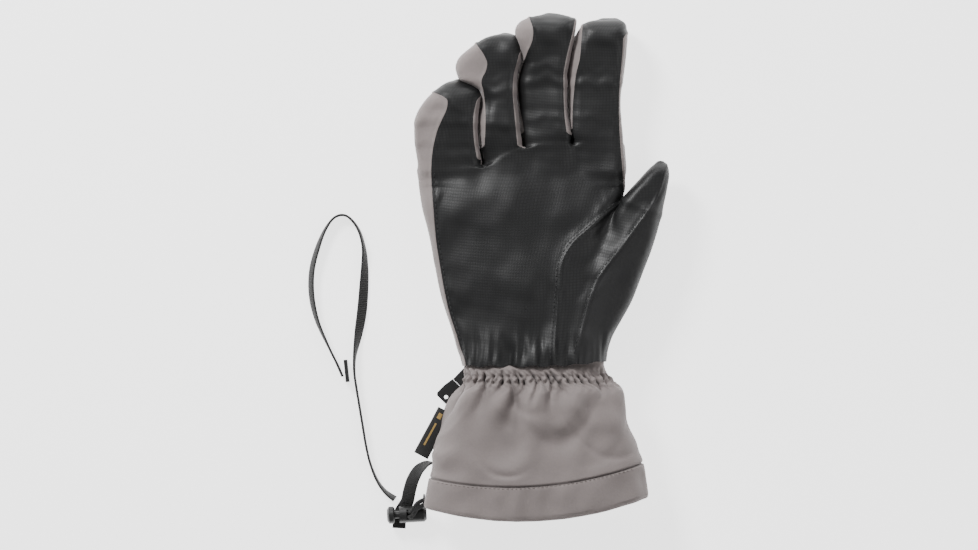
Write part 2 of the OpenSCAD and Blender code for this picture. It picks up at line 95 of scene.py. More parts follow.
def area_light(name, place, target, size, power, tint=(1, 1, 1)):
    data = bpy.data.lights.new(name, "AREA")
    data.shape = "DISK"
    data.size = size
    data.energy = power
    data.color = tint
    light = bpy.data.objects.new(name, data)
    COLLECTION.objects.link(light)
    light.location = place
    light.rotation_euler = (Vector(target) - Vector(place)).to_track_quat("-Z", "Y").to_euler()


def studio():
    """A pale floor under soft light from above, with one stronger side light to shape the folds."""
    world = bpy.data.worlds.new("studio")
    world.use_nodes = True
    background = world.node_tree.nodes["Background"].inputs
    background["Color"].default_value = (1, 1, 1, 1)
    background["Strength"].default_value = 0.34
    SCENE.world = world
    area_light("key", (-0.75, 0.95, 0.95), (0, 0, 0), 0.42, 30)
    area_light("fill", (0.9, -0.3, 1.3), (0, 0, 0), 1.0, 5)
    area_light("rim", (0.2, 1.3, 0.5), (0, 0, 0), 0.6, 5)
    bpy.ops.mesh.primitive_plane_add(size=8, location=(0, 0, -0.0006))
    floor = bpy.context.object
    floor.name = "floor"
    paint = Nodes("floor_paint")
    paint.set(Base_Color=(0.75, 0.75, 0.75, 1), Roughness=0.95)
    paint.set(Emission_Color=(1, 1, 1, 1), Emission_Strength=2.2)
    floor.data.materials.append(paint.material)


# ---- Material helpers --------


class Nodes:
    """A short way to write a node material."""

    def __init__(self, name):
        self.material = bpy.data.materials.new(name)
        self.material.use_nodes = True
        self.tree = self.material.node_tree
        self.shader = self.tree.nodes["Principled BSDF"]

    def add(self, kind, links=(), **settings):
        node = self.tree.nodes.new(kind)
        for key, value in settings.items():
            setattr(node, key, value)
        for socket, source in dict(links).items():
            if isinstance(source, bpy.types.NodeSocket):
                self.tree.links.new(source, node.inputs[socket])
            else:
                node.inputs[socket].default_value = source
        return node

    def object_coords(self):
        return self.add("ShaderNodeTexCoord").outputs["Object"]

    def math(self, operation, a, b=0.0):
        return self.add("ShaderNodeMath", {0: a, 1: b}, operation=operation).outputs[0]

    def noise(self, coords, scale, detail=3.0, roughness=0.5):
        links = {"Vector": coords, "Scale": scale, "Detail": detail, "Roughness": roughness}
        return self.add("ShaderNodeTexNoise", links).outputs["Fac"]

    def ramp(self, value, stops):
        node = self.add("ShaderNodeValToRGB", {"Fac": value})
        ramp = node.color_ramp
        while len(ramp.elements) < len(stops):
            ramp.elements.new(0.5)
        for element, (place, colour) in zip(ramp.elements, stops):
            element.position = place
            element.color = (*colour, 1) if len(colour) == 3 else colour
        return node.outputs["Color"]

    def mapped(self, value, low, high, to_low=0.0, to_high=1.0):
        links = {"Value": value, "From Min": low, "From Max": high, "To Min": to_low, "To Max": to_high}
        return self.add("ShaderNodeMapRange", links).outputs["Result"]

    def blend_colours(self, factor, first, second):
        # Of the node's sockets, 6 and 7 are the two colours, and 2 gives the blended colour
        links = {"Factor": factor, 6: first, 7: second}
        return self.add("ShaderNodeMix", links, data_type="RGBA").outputs[2]

    def set(self, **sockets):
        for name, value in sockets.items():
            socket = self.shader.inputs[name.replace("_", " ")]
            if isinstance(value, bpy.types.NodeSocket):
                self.tree.links.new(value, socket)
            else:
                socket.default_value = value

    def bump(self, *heights):
        """Bumps stacked from (height, depth in metres) pairs."""
        normal = None
        for height, depth in heights:
            links = {"Height": height, "Distance": depth, "Strength": 1.0}
            if normal:
                links["Normal"] = normal
            normal = self.add("ShaderNodeBump", links).outputs["Normal"]
        self.tree.links.new(normal, self.shader.inputs["Normal"])


def grey(level):
    return (level, level, level)


def split_xyz(nodes, coords):
    out = nodes.add("ShaderNodeSeparateXYZ", {0: coords}).outputs
    return out[0], out[1], out[2]


def wave(nodes, value, pitch):
    """A sine of that pitch in metres, from -1 to 1."""
    return nodes.math("SINE", nodes.math("MULTIPLY", value, 2 * math.pi / pitch))


def palm_leather():
    """Black synthetic leather with a fine embossed grid of squares."""
    n = Nodes("palm_leather")
    coords = n.object_coords()
    x, y, z = split_xyz(n, coords)
    warp = n.mapped(n.noise(coords, 40, 1), 0, 1, -0.0004, 0.0004)
    pitch = 0.00175
    a = n.math("ADD", n.math("ADD", x, z), warp)
    b = n.math("ADD", n.math("ADD", y, n.math("MULTIPLY", z, 0.5)), warp)
    cells = n.math("MULTIPLY", wave(n, a, pitch * 2), wave(n, b, pitch * 2))
    squares = n.mapped(n.math("ABSOLUTE", cells), 0.12, 0.55)
    grain = n.noise(coords, 2600, 2)
    patch = n.noise(coords, 28, 3)
    tone = n.ramp(patch, [(0.3, (0.0085, 0.0087, 0.0091)), (0.75, (0.0125, 0.0127, 0.0132))])
    # Painted shade: the grooves between the embossed squares, where squares is low, get a darker colour than
    # the squares' tops
    leather_with_painted_groove_shade = n.blend_colours(squares, (0.0062, 0.0063, 0.0066, 1), tone)
    rough = n.mapped(n.noise(coords, 60, 3), 0.3, 0.7, 0.47, 0.56)
    n.set(Base_Color=leather_with_painted_groove_shade, Roughness=n.math("ADD", rough, n.math("MULTIPLY", squares, -0.05)))
    n.set(Specular_IOR_Level=0.36)
    n.bump((n.math("ABSOLUTE", cells), 0.00003), (grain, 0.00001))
    return n.material


def shell_fabric(name="shell_fabric", base=(0.216, 0.186, 0.18), low=0.9, high=1.08):
    """Smooth woven softshell with a faint twill and cloudy tone."""
    n = Nodes(name)
    coords = n.object_coords()
    x, y, z = split_xyz(n, coords)
    u = n.math("ADD", x, n.math("MULTIPLY", z, 0.8))
    v = n.math("ADD", y, n.math("MULTIPLY", z, 0.6))
    warp_threads = wave(n, n.math("ADD", u, v), 0.00062)
    weft_threads = wave(n, n.math("SUBTRACT", u, v), 0.0009)
    weave = n.math("ADD", warp_threads, n.math("MULTIPLY", weft_threads, 0.5))
    clouds = n.noise(coords, 22, 4)
    fine = n.noise(coords, 900, 2)
    dark = tuple(c * low for c in base)
    light = tuple(min(1, c * high) for c in base)
    tone = n.ramp(n.math("ADD", n.math("MULTIPLY", clouds, 0.7), n.math("MULTIPLY", fine, 0.3)),
                  [(0.3, dark), (0.7, light)])
    # Painted shade: where this attribute is high, in the cuff's fold valleys and along its hem seam, the colour
    # is darkened towards 0.35 of the fabric's own colour
    dip = n.add("ShaderNodeAttribute", attribute_name="dip").outputs["Fac"]
    fold_shade_colour = tuple(c * 0.35 for c in base) + (1,)
    n.set(Base_Color=n.blend_colours(dip, tone, fold_shade_colour), Roughness=0.72, Specular_IOR_Level=0.3)
    n.set(Sheen_Weight=0.18, Sheen_Roughness=0.45)
    n.bump((weave, 0.00002), (fine, 0.00004), (n.noise(coords, 120, 3), 0.0003))
    return n.material


def fleece():
    n = Nodes("fleece_lining")
    coords = n.object_coords()
    tufts = n.noise(coords, 900, 5, 0.7)
    n.set(Base_Color=n.ramp(tufts, [(0.3, grey(0.006)), (0.7, grey(0.03))]), Roughness=0.95)
    n.set(Sheen_Weight=0.3, Sheen_Roughness=0.6)
    n.bump((tufts, 0.0006))
    return n.material


def webbing():
    """Black woven tape: ribs across, with a thread texture."""
    n = Nodes("webbing")
    coords = n.object_coords()
    along = n.add("ShaderNodeAttribute", attribute_name="along").outputs["Fac"]
    ribs = wave(n, along, 0.0011)
    fine = n.noise(coords, 2200, 3)
    n.set(Base_Color=n.ramp(fine, [(0.3, grey(0.007)), (0.75, grey(0.024))]), Roughness=0.78)
    n.set(Sheen_Weight=0.1)
    n.bump((ribs, 0.00012), (fine, 0.0001))
    return n.material


def black_plastic():
    n = Nodes("black_plastic")
    coords = n.object_coords()
    grain = n.noise(coords, 1500, 3)
    n.set(Base_Color=n.ramp(n.noise(coords, 90, 3), [(0.3, grey(0.012)), (0.8, grey(0.02))]))
    n.set(Roughness=n.mapped(grain, 0.3, 0.7, 0.32, 0.46))
    n.bump((grain, 0.00002), (n.noise(coords, 260, 2), 0.00006))
    return n.material


def braid():
    n = Nodes("elastic")
    coords = n.object_coords()
    x, y, z = split_xyz(n, coords)
    a = wave(n, n.math("ADD", n.math("ADD", x, y), z), 0.0009)
    b = wave(n, n.math("SUBTRACT", n.math("SUBTRACT", x, y), z), 0.0009)
    plaits = n.math("MULTIPLY", a, b)
    # Painted light and shade: the colour follows the plaits' relief, lighter on their raised tops and darker in
    # the hollows between them
    n.set(Base_Color=n.ramp(n.mapped(plaits, -1, 1), [(0.2, grey(0.006)), (0.8, grey(0.03))]))
    n.set(Roughness=0.7)
    n.bump((plaits, 0.0002))
    return n.material


def thread(name, colour):
    n = Nodes(name)
    coords = n.object_coords()
    twist = n.noise(coords, 3000, 2)
    dark = tuple(c * 0.7 for c in colour)
    n.set(Base_Color=n.ramp(twist, [(0.3, dark), (0.7, colour)]), Roughness=0.65)
    n.bump((twist, 0.00008))
    return n.material


def label_cloth():
    """Woven label, black with gold."""
    n = Nodes("label_fabric")
    coords = n.object_coords()
    weave = n.noise(coords, 2600, 2)
    n.set(Base_Color=n.ramp(weave, [(0.3, grey(0.008)), (0.7, grey(0.02))]), Roughness=0.7)
    n.bump((weave, 0.00012))
    return n.material


def spring_steel():
    n = Nodes("spring_steel")
    coords = n.object_coords()
    n.set(Base_Color=(0.6, 0.6, 0.62, 1), Metallic=1.0)
    n.set(Roughness=n.mapped(n.noise(coords, 700, 3), 0.3, 0.7, 0.2, 0.4))
    return n.material


# ---- Mesh helpers --------


def curve(points):
    """A smooth value(y) through (y, value) points, flat past its ends."""
    knots, values = np.array(sorted(points), float).T
    slopes = np.gradient(values, knots)

    def at(y):
        y = np.clip(y, knots[0], knots[-1])
        i = np.clip(np.searchsorted(knots, y) - 1, 0, len(knots) - 2)
        h = knots[i + 1] - knots[i]
        t = (y - knots[i]) / h
        return ((2 * t**3 - 3 * t**2 + 1) * values[i] + (t**3 - 2 * t**2 + t) * h * slopes[i]
                + (3 * t**2 - 2 * t**3) * values[i + 1] + (t**3 - t**2) * h * slopes[i + 1])

    return at


def smooth_step(low, high, value):
    t = np.clip((value - low) / (high - low), 0, 1)
    return t * t * (3 - 2 * t)


def smooth_union(a, b, size):
    """The union of two fields, melted together over that size."""
    h = np.clip(0.5 + 0.5 * (b - a) / size, 0, 1)
    return b + (a - b) * h - size * h * (1 - h)


def vertex_normals(points, faces):
    """Area-weighted normals. Faces are triangles or quads, as rows."""
    normals = np.zeros_like(points)
    a, b, c = points[faces[:, 0]], points[faces[:, 1]], points[faces[:, 2]]
    flat = np.cross(b - a, c - a)
    if faces.shape[1] == 4:
        flat = np.cross(points[faces[:, 2]] - a, points[faces[:, 3]] - b)
    for k in range(faces.shape[1]):
        np.add.at(normals, faces[:, k], flat)
    return normals / np.maximum(np.linalg.norm(normals, axis=1), 1e-12)[:, None]


def neighbours_mean(points, edges):
    total = np.zeros_like(points)
    count = np.zeros(len(points))
    for a, b in ((0, 1), (1, 0)):
        np.add.at(total, edges[:, a], points[edges[:, b]])
        np.add.at(count, edges[:, a], 1)
    return total / np.maximum(count, 1)[:, None]


def edges_of(faces):
    pairs = np.concatenate([faces[:, [k, (k + 1) % faces.shape[1]]] for k in range(faces.shape[1])])
    return np.unique(np.sort(pairs, axis=1), axis=0)


def relax(points, faces, rounds, amount=0.5):
    """Taubin smoothing, which keeps the volume."""
    edges = edges_of(faces)
    for _ in range(rounds):
        points = points + amount * (neighbours_mean(points, edges) - points)
        points = points - (amount + 0.03) * (neighbours_mean(points, edges) - points)
    return points


def make_object(name, points, faces, material, normals=None):
    """A smooth-shaded mesh object from points in millimetres."""
    mesh = bpy.data.meshes.new(name)
    mesh.from_pydata((np.asarray(points) * MM).tolist(), [], [list(map(int, f)) for f in faces])
    mesh.polygons.foreach_set("use_smooth", [True] * len(mesh.polygons))
    mesh.materials.append(material)
    mesh.update()
    if normals is not None:
        mesh.normals_split_custom_set_from_vertices(np.asarray(normals).tolist())
    piece = bpy.data.objects.new(name, mesh)
    COLLECTION.objects.link(piece)
    return piece


def store(piece, name, values):
    """Keeps a number for each point of the piece, for its material to read."""
    attributes = piece.data.attributes
    attribute = attributes.get(name) or attributes.new(name, "FLOAT", "POINT")
    attribute.data.foreach_set("value", np.asarray(values, np.float32))


def travelled(points):
    """How far along a line each of its points lies."""
    return np.concatenate([[0], np.cumsum(np.linalg.norm(np.diff(points, axis=0), axis=1))])


def squared(value, power):
    """A sine or cosine raised to a power with its sign kept, which squares a round section off."""
    return np.sign(value) * np.abs(value) ** power


def compact(points, normals, triangles):
    """The triangles with only the points that they use."""
    used, place = np.unique(triangles, return_inverse=True)
    return points[used], normals[used], place.reshape(-1, 3)


def cut(mesh, field):
    """Cuts a (points, normals, triangles) mesh along field(points) = 0, into its positive and
    negative sides. Each crossed triangle is divided along the line."""
    points, normals, triangles = mesh
    values = field(points)
    values = np.where(np.abs(values) < 1e-6, 1e-6, values)
    above = values > 0
    count = above[triangles].sum(1)
    mixed = triangles[(count == 1) | (count == 2)]
    lone = above[mixed] == (above[mixed].sum(1) == 1)[:, None]
    first = lone.argmax(1)
    rows = np.arange(len(mixed))
    a, b, c = (mixed[rows, (first + k) % 3] for k in range(3))
    keys = np.sort(np.concatenate([np.stack([a, b], 1), np.stack([a, c], 1)]), axis=1)
    unique, place = np.unique(keys, axis=0, return_inverse=True)
    place = place.reshape(-1)
    i, j = unique[:, 0], unique[:, 1]
    t = (values[i] / (values[i] - values[j]))[:, None]
    made = points[i] + t * (points[j] - points[i])
    made_normals = normals[i] + t * (normals[j] - normals[i])
    made_normals /= np.maximum(np.linalg.norm(made_normals, axis=1), 1e-9)[:, None]
    ab, ac = (place[: len(mixed)] + len(points), place[len(mixed):] + len(points))
    all_points = np.concatenate([points, made])
    all_normals = np.concatenate([normals, made_normals])
    tips = np.stack([a, ab, ac], 1)
    rest = np.concatenate([np.stack([ab, b, c], 1), np.stack([ab, c, ac], 1)])
    tip_above = above[a]
    rest_above = np.concatenate([~tip_above, ~tip_above])
    sides = []
    for side, whole in ((True, 3), (False, 0)):
        parts = triangles[count == whole], tips[tip_above == side], rest[rest_above == side]
        chosen = np.concatenate(parts)
        sides.append(compact(all_points, all_normals, chosen) if len(chosen) else None)
    return sides


# ---- The glove's form --------

FINGERS = ("little", "ring", "middle", "index")

# The slits between fingers, as x at each y, from the bottom of the slit up
SLITS = [
    curve([(60, -27), (67, -28.2), (76, -29.8), (83, -30.4), (93, -30.3), (100, -28.8), (106, -27.2),
           (111.6, -28.3), (114.1, -29.7)]),
    curve([(70, -3.6), (76.8, -4.2), (87, -5.2), (95.6, -6), (108.4, -6.8), (119, -5.8), (126.6, -3.7),
           (135, -2.6), (141, -3.6)]),
    curve([(72, 25.8), (81, 25.6), (92, 24.3), (108, 23.7), (119, 23.8), (126.6, 25.2), (135, 27.2),
           (143, 29.2), (150, 30.6)]),
]
HALF_SLITS = (0.75, 0.75, 1.1)

# The outline of the hand and of each finger, as x at each y
HAND_LEFT = curve([
    (-61, -37.9), (-55, -39.2), (-50, -40.4), (-40, -43.6), (-26, -48.6), (-11, -53.2), (4, -56.8),
    (18, -59.2), (32, -62), (47, -64.6), (61, -66), (76, -68),
])
HAND_RIGHT = curve([
    (-61, 46.2), (-55, 46.9), (-45, 47.5), (-20, 49), (0, 50), (20, 52), (40, 56.4), (54, 58.2), (61, 58.3),
    (76, 57.3),
])
LITTLE_LEFT = curve([
    (45, -64.6), (61, -66), (76, -68.2), (85, -68.2), (92, -67.2), (98, -64.2), (104, -59.8), (109, -54.4),
    (112, -50), (114.5, -45),
])
RING_LEFT = curve([
    (50, -26.2), (67, -27.4), (76, -29), (83, -29.6), (93, -29.5), (99, -28.6), (104, -29.2), (108, -30),
    (111, -34.5), (114, -40.5), (117, -42), (124, -42.6), (129, -39.6), (133, -35), (137, -29.8),
    (141, -21.5), (142.6, -17),
])
INDEX_RIGHT = curve([
    (50, 58), (61, 58.3), (76, 57.2), (90, 56.4), (104, 56.2), (118, 58), (132, 59.6), (144, 59.8),
    (148, 58.9), (151, 56),
])
MIDDLE_TOP_LEFT = curve([
    (60, -3.2), (126, -3.6), (133, -5.6), (141, -7.4), (146, -6.8), (150, -3.2), (153, 4), (154.4, 9),
])
INDEX_TOP_LEFT = curve([
    (60, 26), (90, 24), (112, 23.6), (125, 24.6), (141, 29.4), (146, 32.4), (149, 36), (151, 42),
])


# Where each slit ends towards the fingertips
SLIT_TOPS = (106.0, 129.0, 143.0)
LARGEST_LEAN = 3.0


def slit_lean(number, y, z):
    """How far a slit leans sideways at each height, so that the fingers beside it hide the floor."""
    fade = smooth_step(SLIT_TOPS[number] + 6, SLIT_TOPS[number] - 6, y)
    return LARGEST_LEAN * fade * np.clip((z - FINGER_Z) / 13, -1, 1)


def finger_sides(name):
    """The finger's left and right edge as functions of y."""
    sides = {
        "little": (LITTLE_LEFT, lambda y: SLITS[0](y) - HALF_SLITS[0]),
        "ring": (RING_LEFT, lambda y: SLITS[1](y) - HALF_SLITS[1] - 0.5 * np.clip(y - 139, 0, None) ** 1.6),
        "middle": (lambda y: np.where(y < 124, SLITS[1](y) + HALF_SLITS[1], MIDDLE_TOP_LEFT(y)),
                   lambda y: SLITS[2](y) - HALF_SLITS[2] - 0.35 * np.clip(y - 149, 0, None) ** 1.9),
        "index": (INDEX_TOP_LEFT, INDEX_RIGHT),
    }
    return sides[name]


FINGER_TOP = {"little": 115.2, "ring": 142.8, "middle": 154.8, "index": 151.6}
FINGER_HALF_THICKNESS = 14.2
TIP_LENGTH = 15.0
# Height of the fingers' middle plane
FINGER_Z = 14.4
ROOT_LINE = curve([(-70, 60), (-40, 60.5), (-27, 61), (-4, 72), (26, 74.5), (60, 74)])

THUMB_LEFT = curve([
    (-60, 22), (-40, 24), (-20, 30), (0, 38), (20, 46), (36, 53), (47, 60.6), (54, 66.6), (61, 73.6),
    (64.6, 78),
])
THUMB_RIGHT = curve([
    (-60, 46.8), (-50, 47.4), (-40, 51.2), (-30, 57), (-20, 62.6), (-10, 66.8), (0, 70.6), (10, 74.6),
    (20, 77.8), (30, 80.4), (40, 82.7), (50, 84.4), (58, 85), (62, 84.2), (64.6, 82),
])
THUMB_Z = curve([(-60, 21.5), (-30, 20.5), (0, 19.5), (40, 19.5), (65, 18.5)])
THUMB_HALF = curve([
    (-60, 16.4), (-30, 17.2), (0, 17), (24, 15.8), (40, 14.6), (52, 12.6), (60, 9.2), (64.6, 4),
])
WRIST_CENTRE_Z = 22.1
HAND_Z = curve([
    (-61, WRIST_CENTRE_Z), (-48, 21.6), (-30, 19.4), (-10, 18.7), (34, 17.6), (54, 15.4), (66, 14.5),
    (76, 14.2),
])
HAND_HALF = curve([
    (-61, 17.2), (-48, 17.8), (-30, 18.6), (0, 18.4), (30, 17.2), (48, 15.4), (60, 14.2), (76, 13.6),
])


def superellipse(x, z, left, right, middle_z, half_z, power):
    """Signed field of a superellipse section: 0 on the surface, negative inside."""
    half_x = np.maximum((right - left) / 2, 0.6)
    u = np.abs(x - (left + right) / 2) / half_x
    v = np.abs(z - middle_z) / half_z
    return (u**power + v**power) ** (1 / power) - 1


def true_distance(field, spacing):
    """Divides a field by its slope, which makes it a distance near its surface."""
    slopes = np.gradient(field, spacing)
    size = np.sqrt(sum(s * s for s in slopes))
    return np.clip(field / np.maximum(size, 0.012), -12, 12)


def finger_field(name, x, y, z, spacing):
    left, right = finger_sides(name)
    top = FINGER_TOP[name]
    near_tip = np.clip((y - (top - TIP_LENGTH)) / TIP_LENGTH, 0, 0.985)
    # The start of the finger lies inside the hand
    start = smooth_step(60.5, 53, y)
    half = FINGER_HALF_THICKNESS * np.sqrt(1 - near_tip**2.2) * (1 - 0.16 * start)
    number = FINGERS.index(name)
    left_edge = left(y) + (slit_lean(number - 1, y, z) if number > 0 else 2.6 * start)
    right_edge = right(y) + (slit_lean(number, y, z) if number < 3 else -2.6 * start)
    middle_z = FINGER_Z - 0.9 * near_tip**2
    field = superellipse(x, z, left_edge, right_edge, middle_z, np.maximum(half, 2.6), 3.2)
    distance = true_distance(field, spacing)
    return np.maximum(-smooth_union(-distance, top - y, 3.5), 52 - y)


def glove_field(x, y, z, spacing, names=FINGERS):
    """Distance from the surface of the hand, the thumb and the named fingers, negative inside."""
    hand = superellipse(x, z, HAND_LEFT(y), HAND_RIGHT(y), HAND_Z(y), HAND_HALF(y), 2.5)
    hand = np.maximum(true_distance(hand, spacing), (y - ROOT_LINE(x)) * 0.97)
    thumb = superellipse(x, z, THUMB_LEFT(y), THUMB_RIGHT(y), THUMB_Z(y), THUMB_HALF(y), 2.4)
    thumb = np.maximum(true_distance(thumb, spacing), y - 65)
    melt = 0.4 + (9.6 - 8.6 * smooth_step(10, 44, y)) * smooth_step(-58, -26, y)
    palm = smooth_union(hand, thumb, melt)
    whole = palm
    for name in names:
        whole = np.minimum(whole, smooth_union(palm, finger_field(name, x, y, z, spacing), 3.2))
    return whole


FIELD_LIMIT = 3.0
HAND_START = -62.0  # just inside the cuff


def polygonise(low, high, spacing, names=FINGERS, field_scale=1.0, rounds=3):
    """The closed surface of the hand and the named fingers inside a box, as points and quads."""
    low = np.array(low)
    counts = np.ceil((np.array(high) - low) / spacing).astype(int)
    axes = [low[k] + spacing * np.arange(counts[k]) for k in range(3)]
    x, y, z = (g.astype(np.float32) for g in np.meshgrid(*axes, indexing="ij"))
    field = glove_field(x, y, z, spacing, names) / field_scale
    grid = openvdb.FloatGrid(FIELD_LIMIT)
    grid.copyFromArray(np.clip(field, -FIELD_LIMIT, FIELD_LIMIT).astype(np.float32))
    points, quads = grid.convertToQuads(isovalue=0.0)
    quads = quads[:, ::-1].astype(int)
    return relax(points.astype(float) * spacing + low, quads, rounds), quads


# ---- Seams on the hand, as lines x(y) --------

ULNAR_SEAM = curve([
    (-60, -36.6), (-54, -37.6), (-46.8, -40.2), (-39.6, -42.3), (-25.2, -46.9), (-10.8, -50.1),
    (3.6, -52.6), (18, -54.8), (32.4, -56.1), (75.6, -56.1), (82.8, -54.3), (90, -51.3), (97.2, -48.2),
    (104.4, -48.1), (112, -49.2),
])
RING_SEAM = curve([
    (60, -26.2), (108, -26.6), (112.7, -27.6), (114.9, -27.2), (119.1, -25.1), (124.5, -24.3),
    (128.8, -26.1), (135.2, -30.4), (143, -33),
])
MIDDLE_SEAM = curve([
    (60, -1.8), (76, -1.8), (87, -2.6), (97, -4.4), (113.8, -5.2), (119, -4.2), (125.6, -2), (130.9, 0.1),
    (137.4, 2.8), (143.8, 3.3), (151.3, 1.2),
])
INDEX_SEAM = curve([(60, 27.4), (104, 27.6), (118.8, 29.4), (126, 31.2), (137, 32.2), (150, 33.4)])
INDEX_OUTER_SEAM = curve([
    (40, 58.6), (59, 57), (76, 55.6), (92, 54.9), (110, 55.2), (132, 57), (148, 57.4),
])
THUMB_SEAM = curve([
    (-62, 27), (-51, 29.1), (-31.2, 33.9), (-2.4, 44.1), (12, 55), (26.4, 65.7), (43.2, 77.1), (63, 83.4),
])
THUMB_BACK_SEAM = curve([(-62, 30), (-40, 34), (0, 44), (30, 50), (44, 55.5), (46, 56.5)])
GUSSET = curve([
    (-58, 15), (-49.8, 15.9), (-30, 17.2), (-10.8, 18.9), (6.6, 21.3), (15.6, 26.7), (27, 39.3),
    (37.2, 50.7), (42, 57),
])
FINGER_LEFT_SEAM = [ULNAR_SEAM, RING_SEAM, MIDDLE_SEAM, INDEX_SEAM]
FINGER_RIGHT_SEAM = [lambda y: SLITS[0](y) - 2.1, lambda y: SLITS[1](y) - 2.1, lambda y: SLITS[2](y) - 2.1,
                     INDEX_OUTER_SEAM]

BASE_CUT = np.array([65.0, 75.0, 77.5, 77.5])
TIP_CUT = np.array([83.5, 100.5, 107.5, 105.5])
KNUCKLE_BEND = 16.0
THUMB_FROM = np.array([46.0, -20.0])
THUMB_WAY = np.array([35.0, 86.0]) / math.hypot(35.0, 86.0)
THUMB_TIP_CUT = 61.5


def which_finger(points):
    """0 for the little finger to 3 for the index finger."""
    x, y, z = points.T
    slits = [SLITS[k](y) + slit_lean(k, y, z) for k in range(3)]
    # Where the little fingertip ends under the ring finger's bulge
    end_x = [-70, -42, -40.5, -35, -31, -28, -20]
    little_end = np.interp(x, end_x, [118.5, 117.3, 114.8, 111.8, 109.6, 107.6, 104])
    little = (x < slits[0]) & (y < little_end)
    rest = 1 + (x > slits[1]).astype(int) + (x > slits[2]).astype(int)
    return np.where(little, 0, rest)


def thumb_side(points):
    """Positive on the thumb, which begins on the line the thumb folds about."""
    return points[:, 0] - np.interp(points[:, 1], [-60, -42, 44, 64], [60.6, 60, 57, 67])


def along_thumb(points):
    return (points[:, :2] - THUMB_FROM) @ THUMB_WAY


def leather_field(points, number=None):
    """Positive where the palm's leather is, on finger number or on whichever each point is part of."""
    x, y, z = points.T
    finger = which_finger(points) if number is None else np.full(len(points), number)
    left = np.choose(finger, [f(y) for f in FINGER_LEFT_SEAM])
    right = np.choose(finger, [f(y) for f in FINGER_RIGHT_SEAM])
    near_root = smooth_step(-3, 9, y - np.array([58.0, 66, 74, 76])[finger])
    left = ULNAR_SEAM(y) + near_root * (left - ULNAR_SEAM(y))
    palm_right = INDEX_OUTER_SEAM(y) + 40 * smooth_step(47, 40, y)
    right = palm_right + near_root * (right - palm_right)
    top = np.array([FINGER_TOP[n] for n in FINGERS])[finger]
    height = z - (15.5 - 9.5 * smooth_step(9, 1.5, top - y))
    wrap = smooth_step(14, 4, top - y) * 14
    inside_left = x - left + wrap * (finger < 1)
    inside_right = right - x + 0.4 * wrap * (finger != 2)
    field = np.minimum(np.minimum(inside_left, inside_right), height)
    on_thumb = (thumb_side(points) > 0) & (y > 40)
    thumb = np.minimum(THUMB_SEAM(y) - x, z - 9)
    low_thumb = np.minimum(field, THUMB_SEAM(y) - x)
    return np.where(on_thumb, thumb, np.where(y < 46, low_thumb, field))


def softshell_field(points):
    """Positive on the matte black softshell of the thumb's outer side and back. Leather comes first."""
    x, y, z = points.T
    blend_z = smooth_step(10, 20, z)
    seam = THUMB_BACK_SEAM(y) + blend_z * (THUMB_SEAM(y) - 2 - THUMB_BACK_SEAM(y))
    field = x - seam
    beside_index = (y > 42) & (thumb_side(points) < 0)
    return np.where(beside_index, -np.abs(thumb_side(points)) - 0.1, field)


# ---- Fabric relief --------


class Waves:
    """Smooth seeded noise in space: a sum of sines in random directions."""

    def __init__(self, pitch, count=14, stretch=(1, 1, 1)):
        ways = rng.normal(size=(count, 3))
        ways /= np.linalg.norm(ways, axis=1)[:, None]
        rates = 2 * math.pi / (pitch * rng.uniform(0.7, 1.5, count))
        self.ways = ways * rates[:, None] * np.array(stretch)
        self.phases = rng.uniform(0, 2 * math.pi, count)
        self.scale = math.sqrt(2 / count)

    def __call__(self, points):
        return self.scale * np.sin(points @ self.ways.T + self.phases).sum(1)


BROAD = Waves(46)
MIDDLE_SIZE = Waves(19, count=40)
SMALL = Waves(8)
ACROSS = Waves(12, stretch=(0.35, 1.6, 0.6))
LENGTHWISE = Waves(13, stretch=(1.7, 0.28, 0.6))


def groove(distance, width, depth):
    """A seam: a narrow dip with a soft roll on each side."""
    d = np.abs(distance) / width
    return -depth * np.exp(-d * d) + 0.16 * depth * np.exp(-((d - 2.3) ** 2))


def crease(points, y, middle, spread, depth):
    """A soft fold across a finger or the palm."""
    bent = y - middle - 0.8 * LENGTHWISE(points)
    return -depth * np.exp(-((bent / spread) ** 2))


def hand_relief(points, facing, number=None):
    """How far the glove's surface moves out along its normals, in millimetres. facing is how far
    each point faces straight up or down, because the sides keep the outline."""
    x, y, z = points.T
    finger = which_finger(points) if number is None else np.full(len(points), number)
    up = smooth_step(14, 26, z)
    out = 0.75 * BROAD(points) + 0.16 * MIDDLE_SIZE(points) + 0.02 * SMALL(points)
    out = out * (0.55 + 0.45 * smooth_step(150, 60, y)) * (0.25 + 0.75 * facing)
    knuckles = np.array([66.0, 76, 80, 80])[finger]
    middles = np.array([92.0, 109, 116, 114])[finger]
    on_fingers = (thumb_side(points) < 0) | (y < 44)
    out += on_fingers * up * crease(points, y, knuckles + 2, 4.5, 0.45)
    out += on_fingers * up * crease(points, y, knuckles + 11, 2.6, 0.3)
    out += on_fingers * up * crease(points, y, middles - 2, 3.2, 0.6)
    out += on_fingers * up * crease(points, y, middles + 6, 2.4, 0.3)
    out += 0.1 * up * ACROSS(points) * smooth_step(50, 80, y)
    # The palm's lower end is gathered by the wrist elastic
    low = smooth_step(-30, -54, y)
    gathers = 0.75 * LENGTHWISE(points) + 0.4 * np.sin(x * 1.15 + 1.6 * BROAD(points))
    out += low * (0.05 + 0.95 * facing) * gathers
    # A long soft fold from the thumb's crotch down the palm
    long_fold = groove(x - (38 + 0.32 * (y - 20)), 5.5, 0.9)
    out += up * long_fold * smooth_step(-46, -20, y) * smooth_step(44, 24, y)
    thumb = thumb_side(points) > 0
    along = along_thumb(points)
    out += thumb * up * -0.8 * np.exp(-(((along - 62) / 3) ** 2))
    return out


